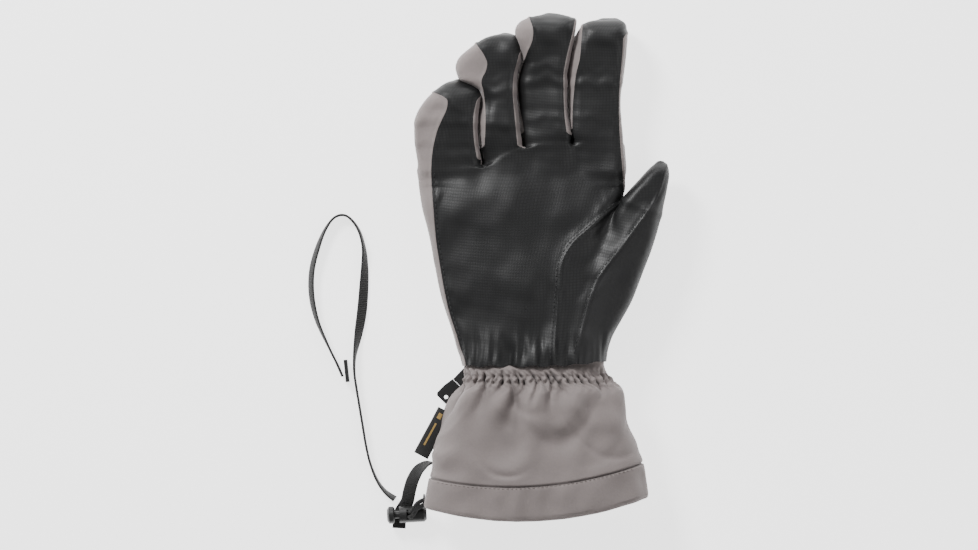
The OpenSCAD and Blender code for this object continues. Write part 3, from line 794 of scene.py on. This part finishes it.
def seam_relief(points, number=None):
    """The dips at the leather's edge and along the gusset's seam."""
    x, y, z = points.T
    up = smooth_step(13, 20, z)
    out = groove(leather_field(points, number), 0.9, 0.55) * smooth_step(12, 16, z)
    gusset = (x - GUSSET(y)) * np.where(y < 12, 0.99, 0.7)
    out += up * groove(gusset, 1.0, 0.8) * smooth_step(43.5, 41, y)
    return out


CLOTH_SPACING = 2.5
CLOTH_STEPS = 16
CLOTH_ENLARGED = 10  # the trial is simulated this many times larger
LARGEST_MOVE = 3.2
KEPT_ON_SIDES = 0.15


def gentle_cloth():
    """Runs a cloth simulation on a coarse copy of the glove: air pressure fills the panels between
    the seams, which stay put, and slightly oversize cloth buckles. Gives its moves at its points."""
    box = (-78.0, HAND_START, -6.0), (94.0, 162.0, 46.0)
    points, quads = polygonise(*box, CLOTH_SPACING, field_scale=2, rounds=2)
    mesh = bpy.data.meshes.new("cloth_trial")
    mesh.from_pydata((points * MM * CLOTH_ENLARGED).tolist(), [], quads.tolist())
    trial = bpy.data.objects.new("cloth_trial", mesh)
    COLLECTION.objects.link(trial)
    hold = np.exp(-((leather_field(points) / 2.0) ** 2))
    gusset = (points[:, 0] - GUSSET(points[:, 1])) * 0.8
    hold = np.maximum(hold, np.exp(-((gusset / 2.0) ** 2)) * (points[:, 1] < 44) * (points[:, 2] > 15))
    hold = np.maximum(hold, smooth_step(4, 0.5, points[:, 2]))
    hold = np.maximum(hold, smooth_step(-52, -58, points[:, 1]))
    group = trial.vertex_groups.new(name="seams")
    for i, weight in enumerate(hold):
        if weight > 0.05:
            group.add([i], float(weight), "REPLACE")
    cloth = trial.modifiers.new("cloth", "CLOTH")
    settings = cloth.settings
    settings.quality = 5
    settings.mass = 0.3
    settings.tension_stiffness = 12
    settings.compression_stiffness = 12
    settings.shear_stiffness = 4
    settings.bending_stiffness = 0.6
    settings.vertex_group_mass = "seams"
    settings.use_pressure = True
    settings.uniform_pressure_force = 1.6
    settings.shrink_min = -0.045
    settings.effector_weights.gravity = 0
    cloth.collision_settings.use_collision = False
    for step in range(1, CLOTH_STEPS + 1):
        SCENE.frame_set(step)
    ready = trial.evaluated_get(bpy.context.evaluated_depsgraph_get())
    moved = np.array([v.co[:] for v in ready.data.vertices]) / (MM * CLOTH_ENLARGED)
    SCENE.frame_set(1)
    bpy.data.objects.remove(trial)
    shift = moved - points
    size = np.linalg.norm(shift, axis=1)
    shift *= (np.minimum(size, LARGEST_MOVE) / np.maximum(size, 1e-9))[:, None]
    normals = vertex_normals(points, quads)
    # Filling out must not make the glove larger on the whole, or move its outline
    swell = (shift * normals).sum(1).mean()
    facing = np.abs(normals[:, 2:])
    shift = (shift - 0.9 * swell * normals) * (KEPT_ON_SIDES + (1 - KEPT_ON_SIDES) * facing)
    # The trial mesh's own grid must not show in the folds
    edges = edges_of(quads)
    for _ in range(5):
        shift = 0.4 * shift + 0.6 * neighbours_mean(shift, edges)
    return points, shift


def add_cloth_moves(points, moves):
    """The coarse simulation's moves, spread over the fine mesh."""
    coarse, shift = moves
    tree = KDTree(len(coarse))
    for i, p in enumerate(coarse):
        tree.insert(p, i)
    tree.balance()
    result = np.empty_like(points)
    for i, p in enumerate(points):
        found = tree.find_n(p, 14)
        weights = np.array([math.exp(-((d / 2.6) ** 2)) + 1e-6 for _, _, d in found])
        result[i] = (shift[[k for _, k, _ in found]] * weights[:, None]).sum(0) / weights.sum()
    return points + result


def glove_skin(moves, number=None):
    """The glove from wrist to fingertips, or one finger of it with its own side walls, as
    (points, normals, triangles), with all its relief."""
    names, start = FINGERS, HAND_START
    if number is not None:
        # A whole number of voxels up, so that the grids match
        names, start = (FINGERS[number],), HAND_START + VOXEL * int(105 / VOXEL)
    points, quads = polygonise((-76.0, start, -4.0), (92.0, 160.0, 44.0), VOXEL, names)
    if moves:
        points = add_cloth_moves(points, moves)
    normals = vertex_normals(points, quads)
    relief = hand_relief(points, np.abs(normals[:, 2]), number) + seam_relief(points, number)
    points = points + normals * relief[:, None]
    points = relax(points, quads, 1, 0.3)
    points[:, 2] = np.maximum(points[:, 2], 0.25)
    normals = vertex_normals(points, quads)
    triangles = np.concatenate([quads[:, [0, 1, 2]], quads[:, [0, 2, 3]]])
    return points, normals, triangles


# ---- Dividing the skin among panels and bodies --------


def add_skin_piece(name, mesh, kind, place):
    if mesh is None or not len(mesh[2]):
        return
    points, normals, triangles = mesh
    piece = make_object(name, points, triangles, MATERIALS[kind], normals)
    place(piece)


def ride_hand(piece):
    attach(piece, "hand")


def y_bend(a, b, y0, y1):
    """Blends a piece from body a to body b along y."""
    return lambda piece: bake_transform(piece, a, b, (0, y0 * MM, 0), (0, y1 * MM, 0))


# Where the thumb folds at its root, and the way across the fold
THUMB_FOLD = ((57.0, 42.0), (0.99936, 0.0357))
THUMB_ROOT_BEND = 13
THUMB_TIP_BEND = 14
THUMB_BEND_Z = 0.02


def thumb_root_bend(piece):
    (x, y), (nx, ny) = THUMB_FOLD
    end = ((x + THUMB_ROOT_BEND * nx) * MM, (y + THUMB_ROOT_BEND * ny) * MM, THUMB_BEND_Z)
    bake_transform(piece, "hand", "thumb_base", (x * MM, y * MM, THUMB_BEND_Z), end)


def thumb_tip_bend(piece):
    start = THUMB_FROM + THUMB_TIP_CUT * THUMB_WAY
    end = THUMB_FROM + (THUMB_TIP_CUT + THUMB_TIP_BEND) * THUMB_WAY
    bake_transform(piece, "thumb_base", "thumb_tip", (*(start * MM), THUMB_BEND_Z), (*(end * MM), THUMB_BEND_Z))


def divide(name, mesh, place, number=None):
    """Cuts a part of the skin into its leather, softshell and shell panels."""
    leather, rest = cut(mesh, lambda p: leather_field(p, number))
    add_skin_piece(f"{name}_palm", leather, "palm_leather", place)
    if rest is None:
        return
    soft, shell = cut(rest, softshell_field)
    add_skin_piece(f"{name}_softshell", soft, "softshell", place)
    add_skin_piece(f"{name}_back", shell, "shell_fabric", place)


def above_leather_end(points):
    """Positive above the wavy line where the hand's skin ends at the cuff."""
    x, y = points[:, 0], points[:, 1]
    return y - (-57.4 + 3.4 * ((x - 4) / 46) ** 2 * (x > 4) + 0.5 * np.sin(x * 0.5))


HAND_BESIDE_FINGERS = 79.0  # below this y a finger's mesh still has some of the hand beside it


def dress_hand():
    """Makes and divides the glove above the cuff. Gives its skin, for the stitches to lie on."""
    moves = gentle_cloth()
    skin, _ = cut(glove_skin(moves), above_leather_end)
    thumb, hand = cut(skin, thumb_side)
    _, palm = cut(hand, lambda p: p[:, 1] - BASE_CUT[which_finger(p)])
    divide("hand", palm, ride_hand)
    for number, name in enumerate(FINGERS):
        finger, _ = cut(glove_skin(moves, number), lambda p: p[:, 1] - BASE_CUT[number])
        points, normals, triangles = finger
        centres = points[triangles].mean(1)
        mine = (centres[:, 1] > HAND_BESIDE_FINGERS) | (which_finger(centres) == number)
        mine &= thumb_side(centres) < 0
        tip, base = cut(compact(points, normals, triangles[mine]), lambda p: p[:, 1] - TIP_CUT[number])
        for part, mesh, cuts, pair in (
            ("base", base, BASE_CUT, ("hand", f"{name}_base")),
            ("tip", tip, TIP_CUT, (f"{name}_base", f"{name}_tip")),
        ):
            start = cuts[number]
            divide(f"{name}_{part}", mesh, y_bend(*pair, start, start + KNUCKLE_BEND), number)
    thumb_end, thumb_base = cut(thumb, lambda p: along_thumb(p) - THUMB_TIP_CUT)
    divide("thumb_base", thumb_base, thumb_root_bend)
    divide("thumb_tip", thumb_end, thumb_tip_bend)
    return skin


# ---- Wrist gathers and cuff --------

CUFF_LEFT = curve([
    (-150, -62.4), (-139, -62.2), (-131, -60.5), (-120, -57.9), (-104, -55.2), (-93, -51.6), (-87, -49.8),
    (-82.5, -47.8), (-77, -44.8), (-73, -41.4), (-69, -38.6), (-62, -37.9), (-54, -39.3),
])
CUFF_RIGHT = curve([
    (-150, 72.4), (-140, 72.2), (-128.5, 70.2), (-119.5, 68.6), (-109.7, 66), (-93.5, 60.8), (-82, 57.6),
    (-71, 54.4), (-66.3, 50.6), (-62, 47.1), (-54, 47),
])
CUFF_HALF = curve([
    (-150, 22), (-138, 22.4), (-124, 22.6), (-100, 21.6), (-84, 20), (-74, 18.4), (-66, 16.4), (-60, 16.2),
    (-54, 16.4),
])
CUFF_Z = curve([(-150, 22.6), (-124, 22.9), (-92, 22.4), (-74, 22.2), (-54, 22.1)])
# How square the sections of the cuff and the lining are
CUFF_POWER = 0.82
# Length round the cuff, and how much of the wrist bends, in y
CUFF_ROUND = 252.0
WRIST_BEND = (-57, -72)
# How far below y = 0 the elastic lies
ELASTIC_Y = 65.5
# The free end of the wrist strap: where it starts, its way and its length
STRAP_FROM = np.array([-28.0, -55.0])
STRAP_WAY = np.array([math.cos(math.radians(226)), math.sin(math.radians(226))])
STRAP_REACH = 48.0
# How the cuff's lower end slants, and how far its middle hangs below its sides
CUFF_SLOPE = 0.071
CUFF_BOW = 8.7
HEM_START = -124.0
HEM_END = -140.0
HEM_SEAM_WIDTH = 0.5


def cuff_point(turn, y0, inset, flatten=0.0):
    """A point of the cuff: turn is the angle round it from the thumb side, over the palm."""
    c, s = np.cos(turn), np.sin(turn)
    k = smooth_step(-64, -124, y0)
    u = squared(c, CUFF_POWER)
    left, right = CUFF_LEFT(y0), CUFF_RIGHT(y0)
    x = (left + right) / 2 + ((right - left) / 2 - inset) * u
    z = CUFF_Z(y0) + (CUFF_HALF(y0) - inset - flatten) * squared(s, CUFF_POWER)
    slope = CUFF_SLOPE + (0.045 - CUFF_SLOPE) * smooth_step(-122, -140, y0)
    bow = CUFF_BOW + 1.3 * smooth_step(-122, -140, y0)
    shift = 3.6 * smooth_step(-112, -124, y0) * smooth_step(-140, -124, y0)
    y = y0 + k * (slope * x - bow * (1 - u * u)) + shift
    return np.stack([x, y, z], -1)


class Folds:
    """The pleats that the wrist elastic draws in, and the soft folds they leave along the cuff."""

    def __init__(self):
        count = 42
        spots = (np.arange(count) + rng.uniform(-0.3, 0.3, count)) * CUFF_ROUND / count
        # Each valley: place, drift above and below the elastic, depth, reach above and below
        self.valleys = [
            (a, rng.uniform(-0.5, 0.5), rng.uniform(-0.65, 0.65), rng.uniform(2.0, 3.9), rng.uniform(5, 9),
             rng.choice([6, 9, 14, 22]) * rng.uniform(0.8, 1.3)) for a in spots
        ]
        self.long = [
            (rng.uniform(0, CUFF_ROUND), rng.uniform(4.5, 9.5), rng.uniform(1.5, 3.6), rng.uniform(22, 56),
             rng.uniform(-0.3, 0.3)) for _ in range(24)
        ]
        self.cross = [
            (rng.uniform(0, CUFF_ROUND), rng.uniform(-116, -80), rng.uniform(7, 18), rng.uniform(2.6, 5.5),
             rng.uniform(-1.5, 1.5), rng.uniform(-0.5, 0.5)) for _ in range(30)
        ]

    def wrap(self, d):
        return (d + CUFF_ROUND / 2) % CUFF_ROUND - CUFF_ROUND / 2

    def __call__(self, around, y):
        out = np.zeros_like(y)
        spread = np.zeros_like(y)
        above = np.clip(y + ELASTIC_Y, 0, None)
        below = np.clip(-ELASTIC_Y - y, 0, None)
        for place, drift_up, drift_down, depth, reach_up, reach_down in self.valleys:
            d = self.wrap(around - place - drift_up * above - drift_down * np.minimum(below, 12))
            width = 0.95 + 0.1 * above + 0.14 * below
            fade = smooth_step(reach_up, 0, above) * smooth_step(reach_down, 0, below)
            out -= fade * depth * np.exp(-((d / width) ** 2))
            spread += fade * depth * width * math.sqrt(math.pi) / CUFF_ROUND
        for place, width, height, reach, lean in self.long:
            fade = smooth_step(0, 9, below) * smooth_step(reach, reach * 0.35, below)
            d = self.wrap(around - place - lean * below)
            grown = width * (1 + 0.012 * below)
            ridge, valley = (np.exp(-(((d - off * grown) / grown) ** 2)) for off in (0, 1.7))
            out += fade * height * (ridge - 0.7 * valley)
        for place, middle, length, width, height, lean in self.cross:
            d = self.wrap(around - place)
            off = (y - middle - lean * d - 0.03 * d * d) / width
            out += height * np.exp(-((d / length) ** 2) - off**2)
        return out + spread


def tube_faces(rows, columns):
    """The quads between neighbouring rings of points."""
    i = np.arange(rows - 1)[:, None] * columns
    j = np.arange(columns)[None]
    k = (j + 1) % columns
    return np.stack([i + j, i + k, i + columns + k, i + columns + j], -1).reshape(-1, 4)


def hem_ripple(around):
    """A slight waviness of the hem, round the cuff."""
    return 0.26 * np.sin(around * 0.45 + 2 * np.sin(around * 0.09)) + 0.2 * np.sin(around * 0.17 + 1)


def cuff():
    """The cuff's shell with the wrist's pleats, and the lining. Gives the shell's points and faces."""
    columns = 560
    # Even spacing round the section
    trial_turns = np.linspace(0, 2 * math.pi, 2001)
    ring = cuff_point(trial_turns, np.full(2001, -90.0), 0)
    travel = travelled(ring[:, [0, 2]])
    turns = np.interp(np.linspace(0, travel[-1], columns, endpoint=False), travel, trial_turns)
    around = np.linspace(0, CUFF_ROUND, columns, endpoint=False)
    folds = Folds()
    step = 0.7
    body_rows = np.arange(-52.0, HEM_END + 2.1, -step)
    rows = []
    for y0 in body_rows:
        y = np.full(columns, y0)
        # The upper edge is tucked under the palm's lower edge
        tuck = smooth_step(-59.5, -56, y0)
        p = cuff_point(turns, y, 0.9 * tuck, 1.9 * tuck)
        relief = folds(around, y) * smooth_step(-56.5, -61, y)
        zigzag = np.cos(2 * math.pi * around / 5.3 + 2.5 * np.sin((y + ELASTIC_Y) * 0.8))
        relief += 0.75 * zigzag * np.exp(-(((y + ELASTIC_Y) / 5.0) ** 2)) * smooth_step(-56, -60, y)
        for line in (-63.6, -67.2):
            relief -= 0.8 * np.exp(-(((y0 - line) / 0.7) ** 2))
        hem_fade = smooth_step(HEM_START - 2, HEM_START + 9, y)
        relief = relief * (0.25 + 0.75 * hem_fade)
        hem_step = 0.3 * smooth_step(HEM_START - 0.2, HEM_START - 0.9, y)
        relief += hem_step - 1.3 * np.exp(-(((y - HEM_START) / HEM_SEAM_WIDTH) ** 2))
        relief += hem_ripple(around) * smooth_step(HEM_START, HEM_START - 5, y)
        rows.append((p, relief))
    # The hem turns in and runs back up inside
    roll = 2.1
    for angle in np.linspace(0.15, 1, 9) * math.pi:
        y = np.full(columns, HEM_END + 2.1 - roll * math.sin(angle))
        p = cuff_point(turns, y, roll * (1 - math.cos(angle)))
        rows.append((p, (0.3 + hem_ripple(around)) * max(0.0, math.cos(angle))))
    for y0 in np.arange(HEM_END + 2.4, HEM_START - 2, 1.2):
        rows.append((cuff_point(turns, np.full(columns, y0), 2 * roll), np.zeros(columns)))
    base = np.concatenate([p for p, _ in rows])
    relief = np.concatenate([r for _, r in rows])
    quads = tube_faces(len(rows), columns)
    normals = vertex_normals(base, quads)
    outer_count = len(body_rows) * columns
    # The faces have to look away from the cuff's middle line
    outward = np.sign(((base - [5.0, 0, 22.0]) * [1, 0, 1] * normals).sum(1))
    if outward[:outer_count].mean() < 0:
        quads = quads[:, ::-1]
        normals = -normals
    points = base + normals * relief[:, None]
    flat_on = np.abs(normals[:, 2])
    clouds = 0.3 * MIDDLE_SIZE(points) + 0.8 * BROAD(points)
    clouds = clouds * smooth_step(-66, -90, points[:, 1]) * flat_on
    points += normals * (clouds * (np.arange(len(points)) < outer_count))[:, None]
    points[:, 2] = np.maximum(points[:, 2], 0.2)
    # The strap's free end presses a shallow channel into the underside, where it has room to slide
    beside = points[:, :2] - STRAP_FROM
    along = np.clip(beside @ STRAP_WAY, 0, STRAP_REACH)
    aside = np.linalg.norm(beside - along[:, None] * STRAP_WAY, axis=1)
    channel = 9.4 * smooth_step(15, 7, aside)
    channel[outer_count:] = 0
    points[:, 2] = np.maximum(points[:, 2], channel)
    piece = make_object("cuff_shell", points, quads, MATERIALS["shell_fabric"])
    # How far each point lies in a fold or a seam: painted shade, which the fabric's material shows as a darker
    # colour
    near_wrist = np.exp(-(((base[:, 1] + ELASTIC_Y) / 9) ** 2))
    dip = np.clip(-relief - 0.5, 0, 2.4) / 2.4 * (0.25 + 0.75 * near_wrist)
    # Painted shade along the hem seam's groove, a thin dark line
    hem_seam_shade = np.zeros(len(rows))
    hem_seam_shade[: len(body_rows)] = np.exp(-(((body_rows - HEM_START) / HEM_SEAM_WIDTH) ** 2))
    dip = np.maximum(dip, np.repeat(hem_seam_shade, columns))
    store(piece, "dip", dip)
    y_bend("hand", "cuff", *WRIST_BEND)(piece)
    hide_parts("wrist_gather", "wrist_elastic", "cuff_palm_panel", "cuff_back_panel", "cuff_hem")
    # Lining: from inside the hem up into the hand, closed like a bag
    lining_rows = []
    for y0 in np.arange(HEM_END + 6.0, -58, 4.0):
        y = np.full(columns, y0)
        lining_rows.append(cuff_point(turns, y, 4.3 + 2.7 * smooth_step(HEM_END + 6, HEM_END + 18, y0)))
    bag_y = np.arange(-54.0, 50, 6.0)
    for y0 in bag_y:
        left, right = HAND_LEFT(y0) + 6, min(HAND_RIGHT(y0), 50) - 6
        half = float(HAND_HALF(y0)) - 5
        c, s = np.cos(turns), np.sin(turns)
        x = (left + right) / 2 + (right - left) / 2 * squared(c, CUFF_POWER)
        z = HAND_Z(y0) + half * squared(s, CUFF_POWER)
        lining_rows.append(np.stack([x, np.full(columns, y0), z], 1))
    lining_rows.append(np.tile([[-2.0, 54.0, 18.0]], (columns, 1)) + 0.02 * lining_rows[-1])
    inner = np.concatenate(lining_rows)
    faces = tube_faces(len(lining_rows), columns)
    away = vertex_normals(inner, faces)
    inner += away * (0.3 * MIDDLE_SIZE(inner))[:, None]
    lining = make_object("lining", inner, faces, MATERIALS["fleece_lining"])
    y_bend("hand", "cuff", *WRIST_BEND)(lining)
    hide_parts("cuff_lining", "hand_liner", "thumb_base_liner", "thumb_tip_liner",
                *[f"{name}_{part}_liner" for name in FINGERS for part in ("base", "tip")])
    return points, quads


# ---- Straps, cords and hard parts --------


def smooth_route(points, step):
    """A Catmull-Rom line through rows of numbers, resampled to even steps of its first three."""
    p = np.asarray(points, float)
    p = np.concatenate([[2 * p[0] - p[1]], p, [2 * p[-1] - p[-2]]])
    out = []
    for i in range(1, len(p) - 2):
        for t in np.linspace(0, 1, 12, endpoint=False):
            a, b, c, d = p[i - 1: i + 3]
            square, cube = 2 * a - 5 * b + 4 * c - d, 3 * b - a - 3 * c + d
            out.append(0.5 * (2 * b + (c - a) * t + square * t**2 + cube * t**3))
    out = np.array(out + [p[-2]])
    travel = travelled(out[:, :3])
    even = np.linspace(0, travel[-1], max(4, int(travel[-1] / step)))
    return np.stack([np.interp(even, travel, column) for column in out.T], 1)


def band(name, route, width, thickness, kind, step=1.0, around=16, power=0.4):
    """Flat tape along rows of x, y, z and roll, with rounded edges. Keeps each point's travel as
    the attribute "along"."""
    line = smooth_route(route, step)
    spots = line[:, :3]
    ways = np.gradient(spots, axis=0)
    ways /= np.linalg.norm(ways, axis=1)[:, None]
    across = np.cross([0, 0, 1], ways)
    across /= np.linalg.norm(across, axis=1)[:, None]
    up = np.cross(ways, across)
    roll = np.radians(line[:, 3])[:, None]
    side = across * np.cos(roll) + up * np.sin(roll)
    lift = -across * np.sin(roll) + up * np.cos(roll)
    angles = np.linspace(0, 2 * math.pi, around, endpoint=False)
    u = squared(np.cos(angles), power) * width / 2
    v = squared(np.sin(angles), 0.8) * thickness / 2
    rings = spots[:, None] + u[None, :, None] * side[:, None] + v[None, :, None] * lift[:, None]
    points = rings.reshape(-1, 3)
    faces = [list(f) for f in tube_faces(len(spots), around)]
    faces += [list(range(around))[::-1], list(range(len(points) - around, len(points)))]
    piece = make_object(name, points, faces, MATERIALS[kind])
    store(piece, "along", np.repeat(travelled(spots) * MM, around))
    return piece, spots


def show_node(node, kind, bevel=0.0):
    """Keeps a CAD node as its own picture, with a finish and rounded edges."""
    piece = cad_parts[node]
    piece.data.materials.clear()
    piece.data.materials.append(MATERIALS[kind])
    if bevel:
        modifier = piece.modifiers.new("bevel", "BEVEL")
        modifier.width = bevel * MM
        modifier.segments = 3
        modifier.limit_method = "ANGLE"
        modifier.angle_limit = math.radians(40)
    for polygon in piece.data.polygons:
        polygon.use_smooth = False
    return piece


LEASH_ROUTE = [
    (-80, -138.6, 3.4, 60), (-86, -134, 3.2, 75), (-91, -127, 3.2, 85), (-95, -117, 3.2, 90),
    (-97.6, -106, 3.2, 90), (-99.6, -94, 3.2, 90), (-101.6, -82, 3.2, 90), (-103.4, -71, 3.2, 90),
    (-104.6, -62, 3.2, 90), (-104.4, -52, 3.2, 80), (-102.4, -40, 2.6, 45), (-100.2, -26, 1.6, 15),
    (-99, -12, 1.8, 25), (-98.4, 2, 2.4, 50), (-99, 14, 3.2, 75), (-102.4, 25, 3.2, 85),
    (-109, 32.6, 3.2, 90), (-116, 32.2, 3.2, 90), (-122, 25, 3.2, 80), (-127, 13, 3.1, 65),
    (-130.4, -1, 3, 60), (-130.4, -16, 3, 60), (-127, -31, 3.1, 70), (-120.4, -46, 3.2, 85),
    (-115, -57, 3.2, 90), (-111.7, -64.5, 3.2, 90),
]
LEASH_WIDTH = 6.2
LEASH_THICKNESS = 1.5


def leash():
    piece, spots = band("leash_tape", LEASH_ROUTE, LEASH_WIDTH, LEASH_THICKNESS, "webbing", 1.2)
    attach(piece, "cuff")
    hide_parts("leash_webbing")
    slider = show_node("leash_slider", "black_plastic", 0.5)


def tape_loop():
    route = [(-57.6, -116.2, 17.4, 90), (-61, -117.2, 16.6, 62), (-65.6, -120.6, 14.5, 36),
             (-69, -126.5, 11.8, 20), (-71, -133, 9, 12), (-72.4, -139.4, 6, 8), (-74, -142.6, 1.5, 2),
             (-77, -148, 1.0, 0), (-77.6, -156.4, 1.0, 0)]
    piece, _ = band("cord_tape", route, 8, 1.3, "webbing")
    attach(piece, "cuff")
    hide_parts("cord_tether")


LOCK_END = np.array([-60.8, -147.0, 7.1])
LOCK_WAY = np.array([math.cos(math.radians(183)), math.sin(math.radians(183)), 0])
CORD_HOLE = LOCK_END + 10.4 * LOCK_WAY


def drawcord():
    for k in (-1, 1):
        route = [(-62.2, -139.9 + 1.5 * k, 14, 0), (-66.2, -142.1 + 1.5 * k, 14.2, 0),
                 (CORD_HOLE[0] + 1.8, CORD_HOLE[1] + 0.9 + 1.5 * k, 13.4, 0),
                 (CORD_HOLE[0] + 0.2, CORD_HOLE[1] + 0.1 + 1.5 * k, 11.6, 0),
                 (CORD_HOLE[0], CORD_HOLE[1] + 1.5 * k, 9.4, 0)]
        piece, _ = band(f"drawcord_{'ab'[k > 0]}", route, 2.6, 2.6, "elastic", 0.5, 14, 1.0)
        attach(piece, "cuff")
        if k > 0:
            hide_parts("drawcord")


def side_label():
    """A folded woven tag standing out of the cuff's side, with a plain gold mark."""
    across, along = 9.0, 31.0
    yaw = math.radians(62)
    way = np.array([math.cos(yaw), math.sin(yaw), 0])
    out = np.array([-math.sin(yaw), math.cos(yaw), 0])
    pitch = math.radians(14)
    side = out * math.cos(pitch) + np.array([0, 0, math.sin(pitch)])
    lift = np.cross(way, side)
    centre = np.array([-56.6, -98.2, 17.2])

    def sheet(name, half_a, half_b, thickness, material, offset):
        lengthwise = np.linspace(-half_a[0], half_a[1], 40)
        crosswise = np.linspace(-half_b[0], half_b[1], 14)
        u, v = np.meshgrid(lengthwise, crosswise, indexing="ij")
        bend = -0.018 * (v + 4.5) ** 2 + 0.35 * np.sin(u * 0.17 + 0.4)
        layers = []
        for level in (offset, offset - thickness):
            height = (bend + level)[..., None] * lift
            layers.append(centre + u[..., None] * way + v[..., None] * side + height)
        top, bottom = (layer.reshape(-1, 3) for layer in layers)
        n, m = u.shape
        index = np.arange(n * m).reshape(n, m)
        corners = index[:-1, :-1], index[1:, :-1], index[1:, 1:], index[:-1, 1:]
        quads = np.stack(corners, -1).reshape(-1, 4)
        faces = [list(q) for q in quads] + [list(q[::-1] + n * m) for q in quads]
        rim = list(index[0, :]) + list(index[1:, -1]) + list(index[-1, -2::-1]) + list(index[-2:0:-1, 0])
        for a, b in zip(rim, rim[1:] + rim[:1]):
            faces.append([a, b, b + n * m, a + n * m])
        piece = make_object(name, np.concatenate([top, bottom]), faces, material)
        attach(piece, "cuff")
        return piece

    tag = sheet("side_tag", (along / 2, along / 2), (across / 2, across / 2), 0.9,
                MATERIALS["label_fabric"], 0.4)
    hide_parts("side_label")
    sheet("tag_mark", (9.0, 6.0), (-0.9, 2.0), 0.3, MATERIALS["gold"], 0.46)
    sheet("tag_square", (-9.0, 12.6), (-0.2, 2.7), 0.3, MATERIALS["gold"], 0.46)


def straps():
    for node in ("wrist_strap", "pull_strap"):
        piece = show_node(node, "webbing", 0.35)
        store(piece, "along", [v.co[0] for v in piece.data.vertices])
    for node, bevel in (
        ("ladder_lock", 0.4), ("pull_tab", 0.6), ("drawcord_eyelet", 0.3), ("lock_barrel", 0.35),
        ("lock_plunger", 0.5),
    ):
        show_node(node, "black_plastic", bevel)
    spring = show_node("lock_spring", "spring_steel")
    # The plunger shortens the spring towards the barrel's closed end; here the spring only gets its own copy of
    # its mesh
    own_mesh(spring)


# ---- Stitching --------


STITCH_SIDES = 6


def stitches(name, line, surface, kind, place, pitch=3.1, length=2.1, size=0.42, lift=0.12):
    """Short raised stitches laid on a surface along a line of (x, y) points."""
    route = smooth_route(np.concatenate([line, np.zeros((len(line), 1))], 1), 0.2)
    travel = travelled(route)
    points, faces = [], []
    ring = STITCH_SIDES
    for start in np.arange(0.6, travel[-1] - length, pitch):
        ends = []
        for t in np.linspace(0, 1, 4):
            x, y = (np.interp(start + t * length, travel, route[:, k]) for k in (0, 1))
            hit, normal, _, _ = surface.ray_cast(Vector((x, y, 80)), Vector((0, 0, -1)))
            if hit is None:
                break
            rise = lift - 0.35 * (t in (0.0, 1.0))
            ends.append((np.array(hit) + rise * np.array(normal), np.array(normal)))
        if len(ends) < 4:
            continue
        way = ends[3][0] - ends[0][0]
        way /= np.linalg.norm(way)
        base = len(points)
        for t, (spot, normal) in zip(np.linspace(0, 1, 4), ends):
            side = np.cross(way, normal)
            fat = size * (0.55 if t in (0.0, 1.0) else 1.0)
            for a in np.linspace(0, 2 * math.pi, ring, endpoint=False):
                points.append(spot + fat * (math.cos(a) * side + math.sin(a) * normal))
        for i in range(3):
            for j in range(ring):
                a, b = base + i * ring + j, base + i * ring + (j + 1) % ring
                faces.append([a, b, b + ring, a + ring])
        faces.append([base + j for j in range(ring)][::-1])
        faces.append([base + 3 * ring + j for j in range(ring)])
    if not faces:
        return
    place(make_object(name, points, faces, MATERIALS[kind]))


def line_of(seam, y0, y1, shift=0.0):
    ys = np.linspace(y0, y1, 40)
    return np.stack([seam(ys) + shift, ys], 1)


def sew(skin, cuff_mesh):
    points, _, triangles = skin
    hand = BVHTree.FromPolygons(points.tolist(), triangles.tolist())
    for name, line, place in (
        ("gusset_stitches", line_of(GUSSET, -54, 41, -2.1), ride_hand),
        ("ulnar_stitches", line_of(ULNAR_SEAM, -54, 60, 1.6), ride_hand),
        ("thumb_stitches", line_of(THUMB_SEAM, -50, 14, -1.7), ride_hand),
        ("thumb_tip_stitches", line_of(THUMB_SEAM, 21, 36, -1.7), thumb_root_bend),
    ):
        stitches(name, line, hand, "black_thread", place)
    cuff_points, quads = cuff_mesh
    tree = BVHTree.FromPolygons(cuff_points.tolist(), quads.tolist())
    x = np.linspace(-55, 65, 60)
    u = (x - 5) / 66
    line = np.stack([x, HEM_START + 3.6 + CUFF_SLOPE * x - CUFF_BOW * (1 - u * u) - 0.9], 1)
    stitches("hem_stitches", line, tree, "grey_thread", lambda piece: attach(piece, "cuff"), 2.6, 1.8, 0.3)


# ---- Everything together --------

look_down()
MATERIALS = {
    "palm_leather": palm_leather(),
    "shell_fabric": shell_fabric(),
    "softshell": shell_fabric("softshell", (0.0145, 0.0145, 0.015), 0.75, 1.3),
    "fleece_lining": fleece(),
    "elastic": braid(),
    "webbing": webbing(),
    "label_fabric": label_cloth(),
    "black_plastic": black_plastic(),
    "spring_steel": spring_steel(),
    "gold": thread("gold_thread", (0.42, 0.27, 0.08)),
    "black_thread": thread("black_thread", (0.016, 0.016, 0.017)),
    "grey_thread": thread("grey_thread", (0.2, 0.17, 0.16)),
}
leash()
skin = dress_hand()
cuff_mesh = cuff()
tape_loop()
drawcord()
side_label()
straps()
sew(skin, cuff_mesh)


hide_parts("hand_palm_panel")
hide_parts("hand_back_panel", "finger_webs")
for digit in (*FINGERS, "thumb"):
    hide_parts(f"{digit}_base_palm", f"{digit}_flex_zones")
    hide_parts(f"{digit}_base_back")
    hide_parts(f"{digit}_tip_palm")
    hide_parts(f"{digit}_tip_back")

studio()
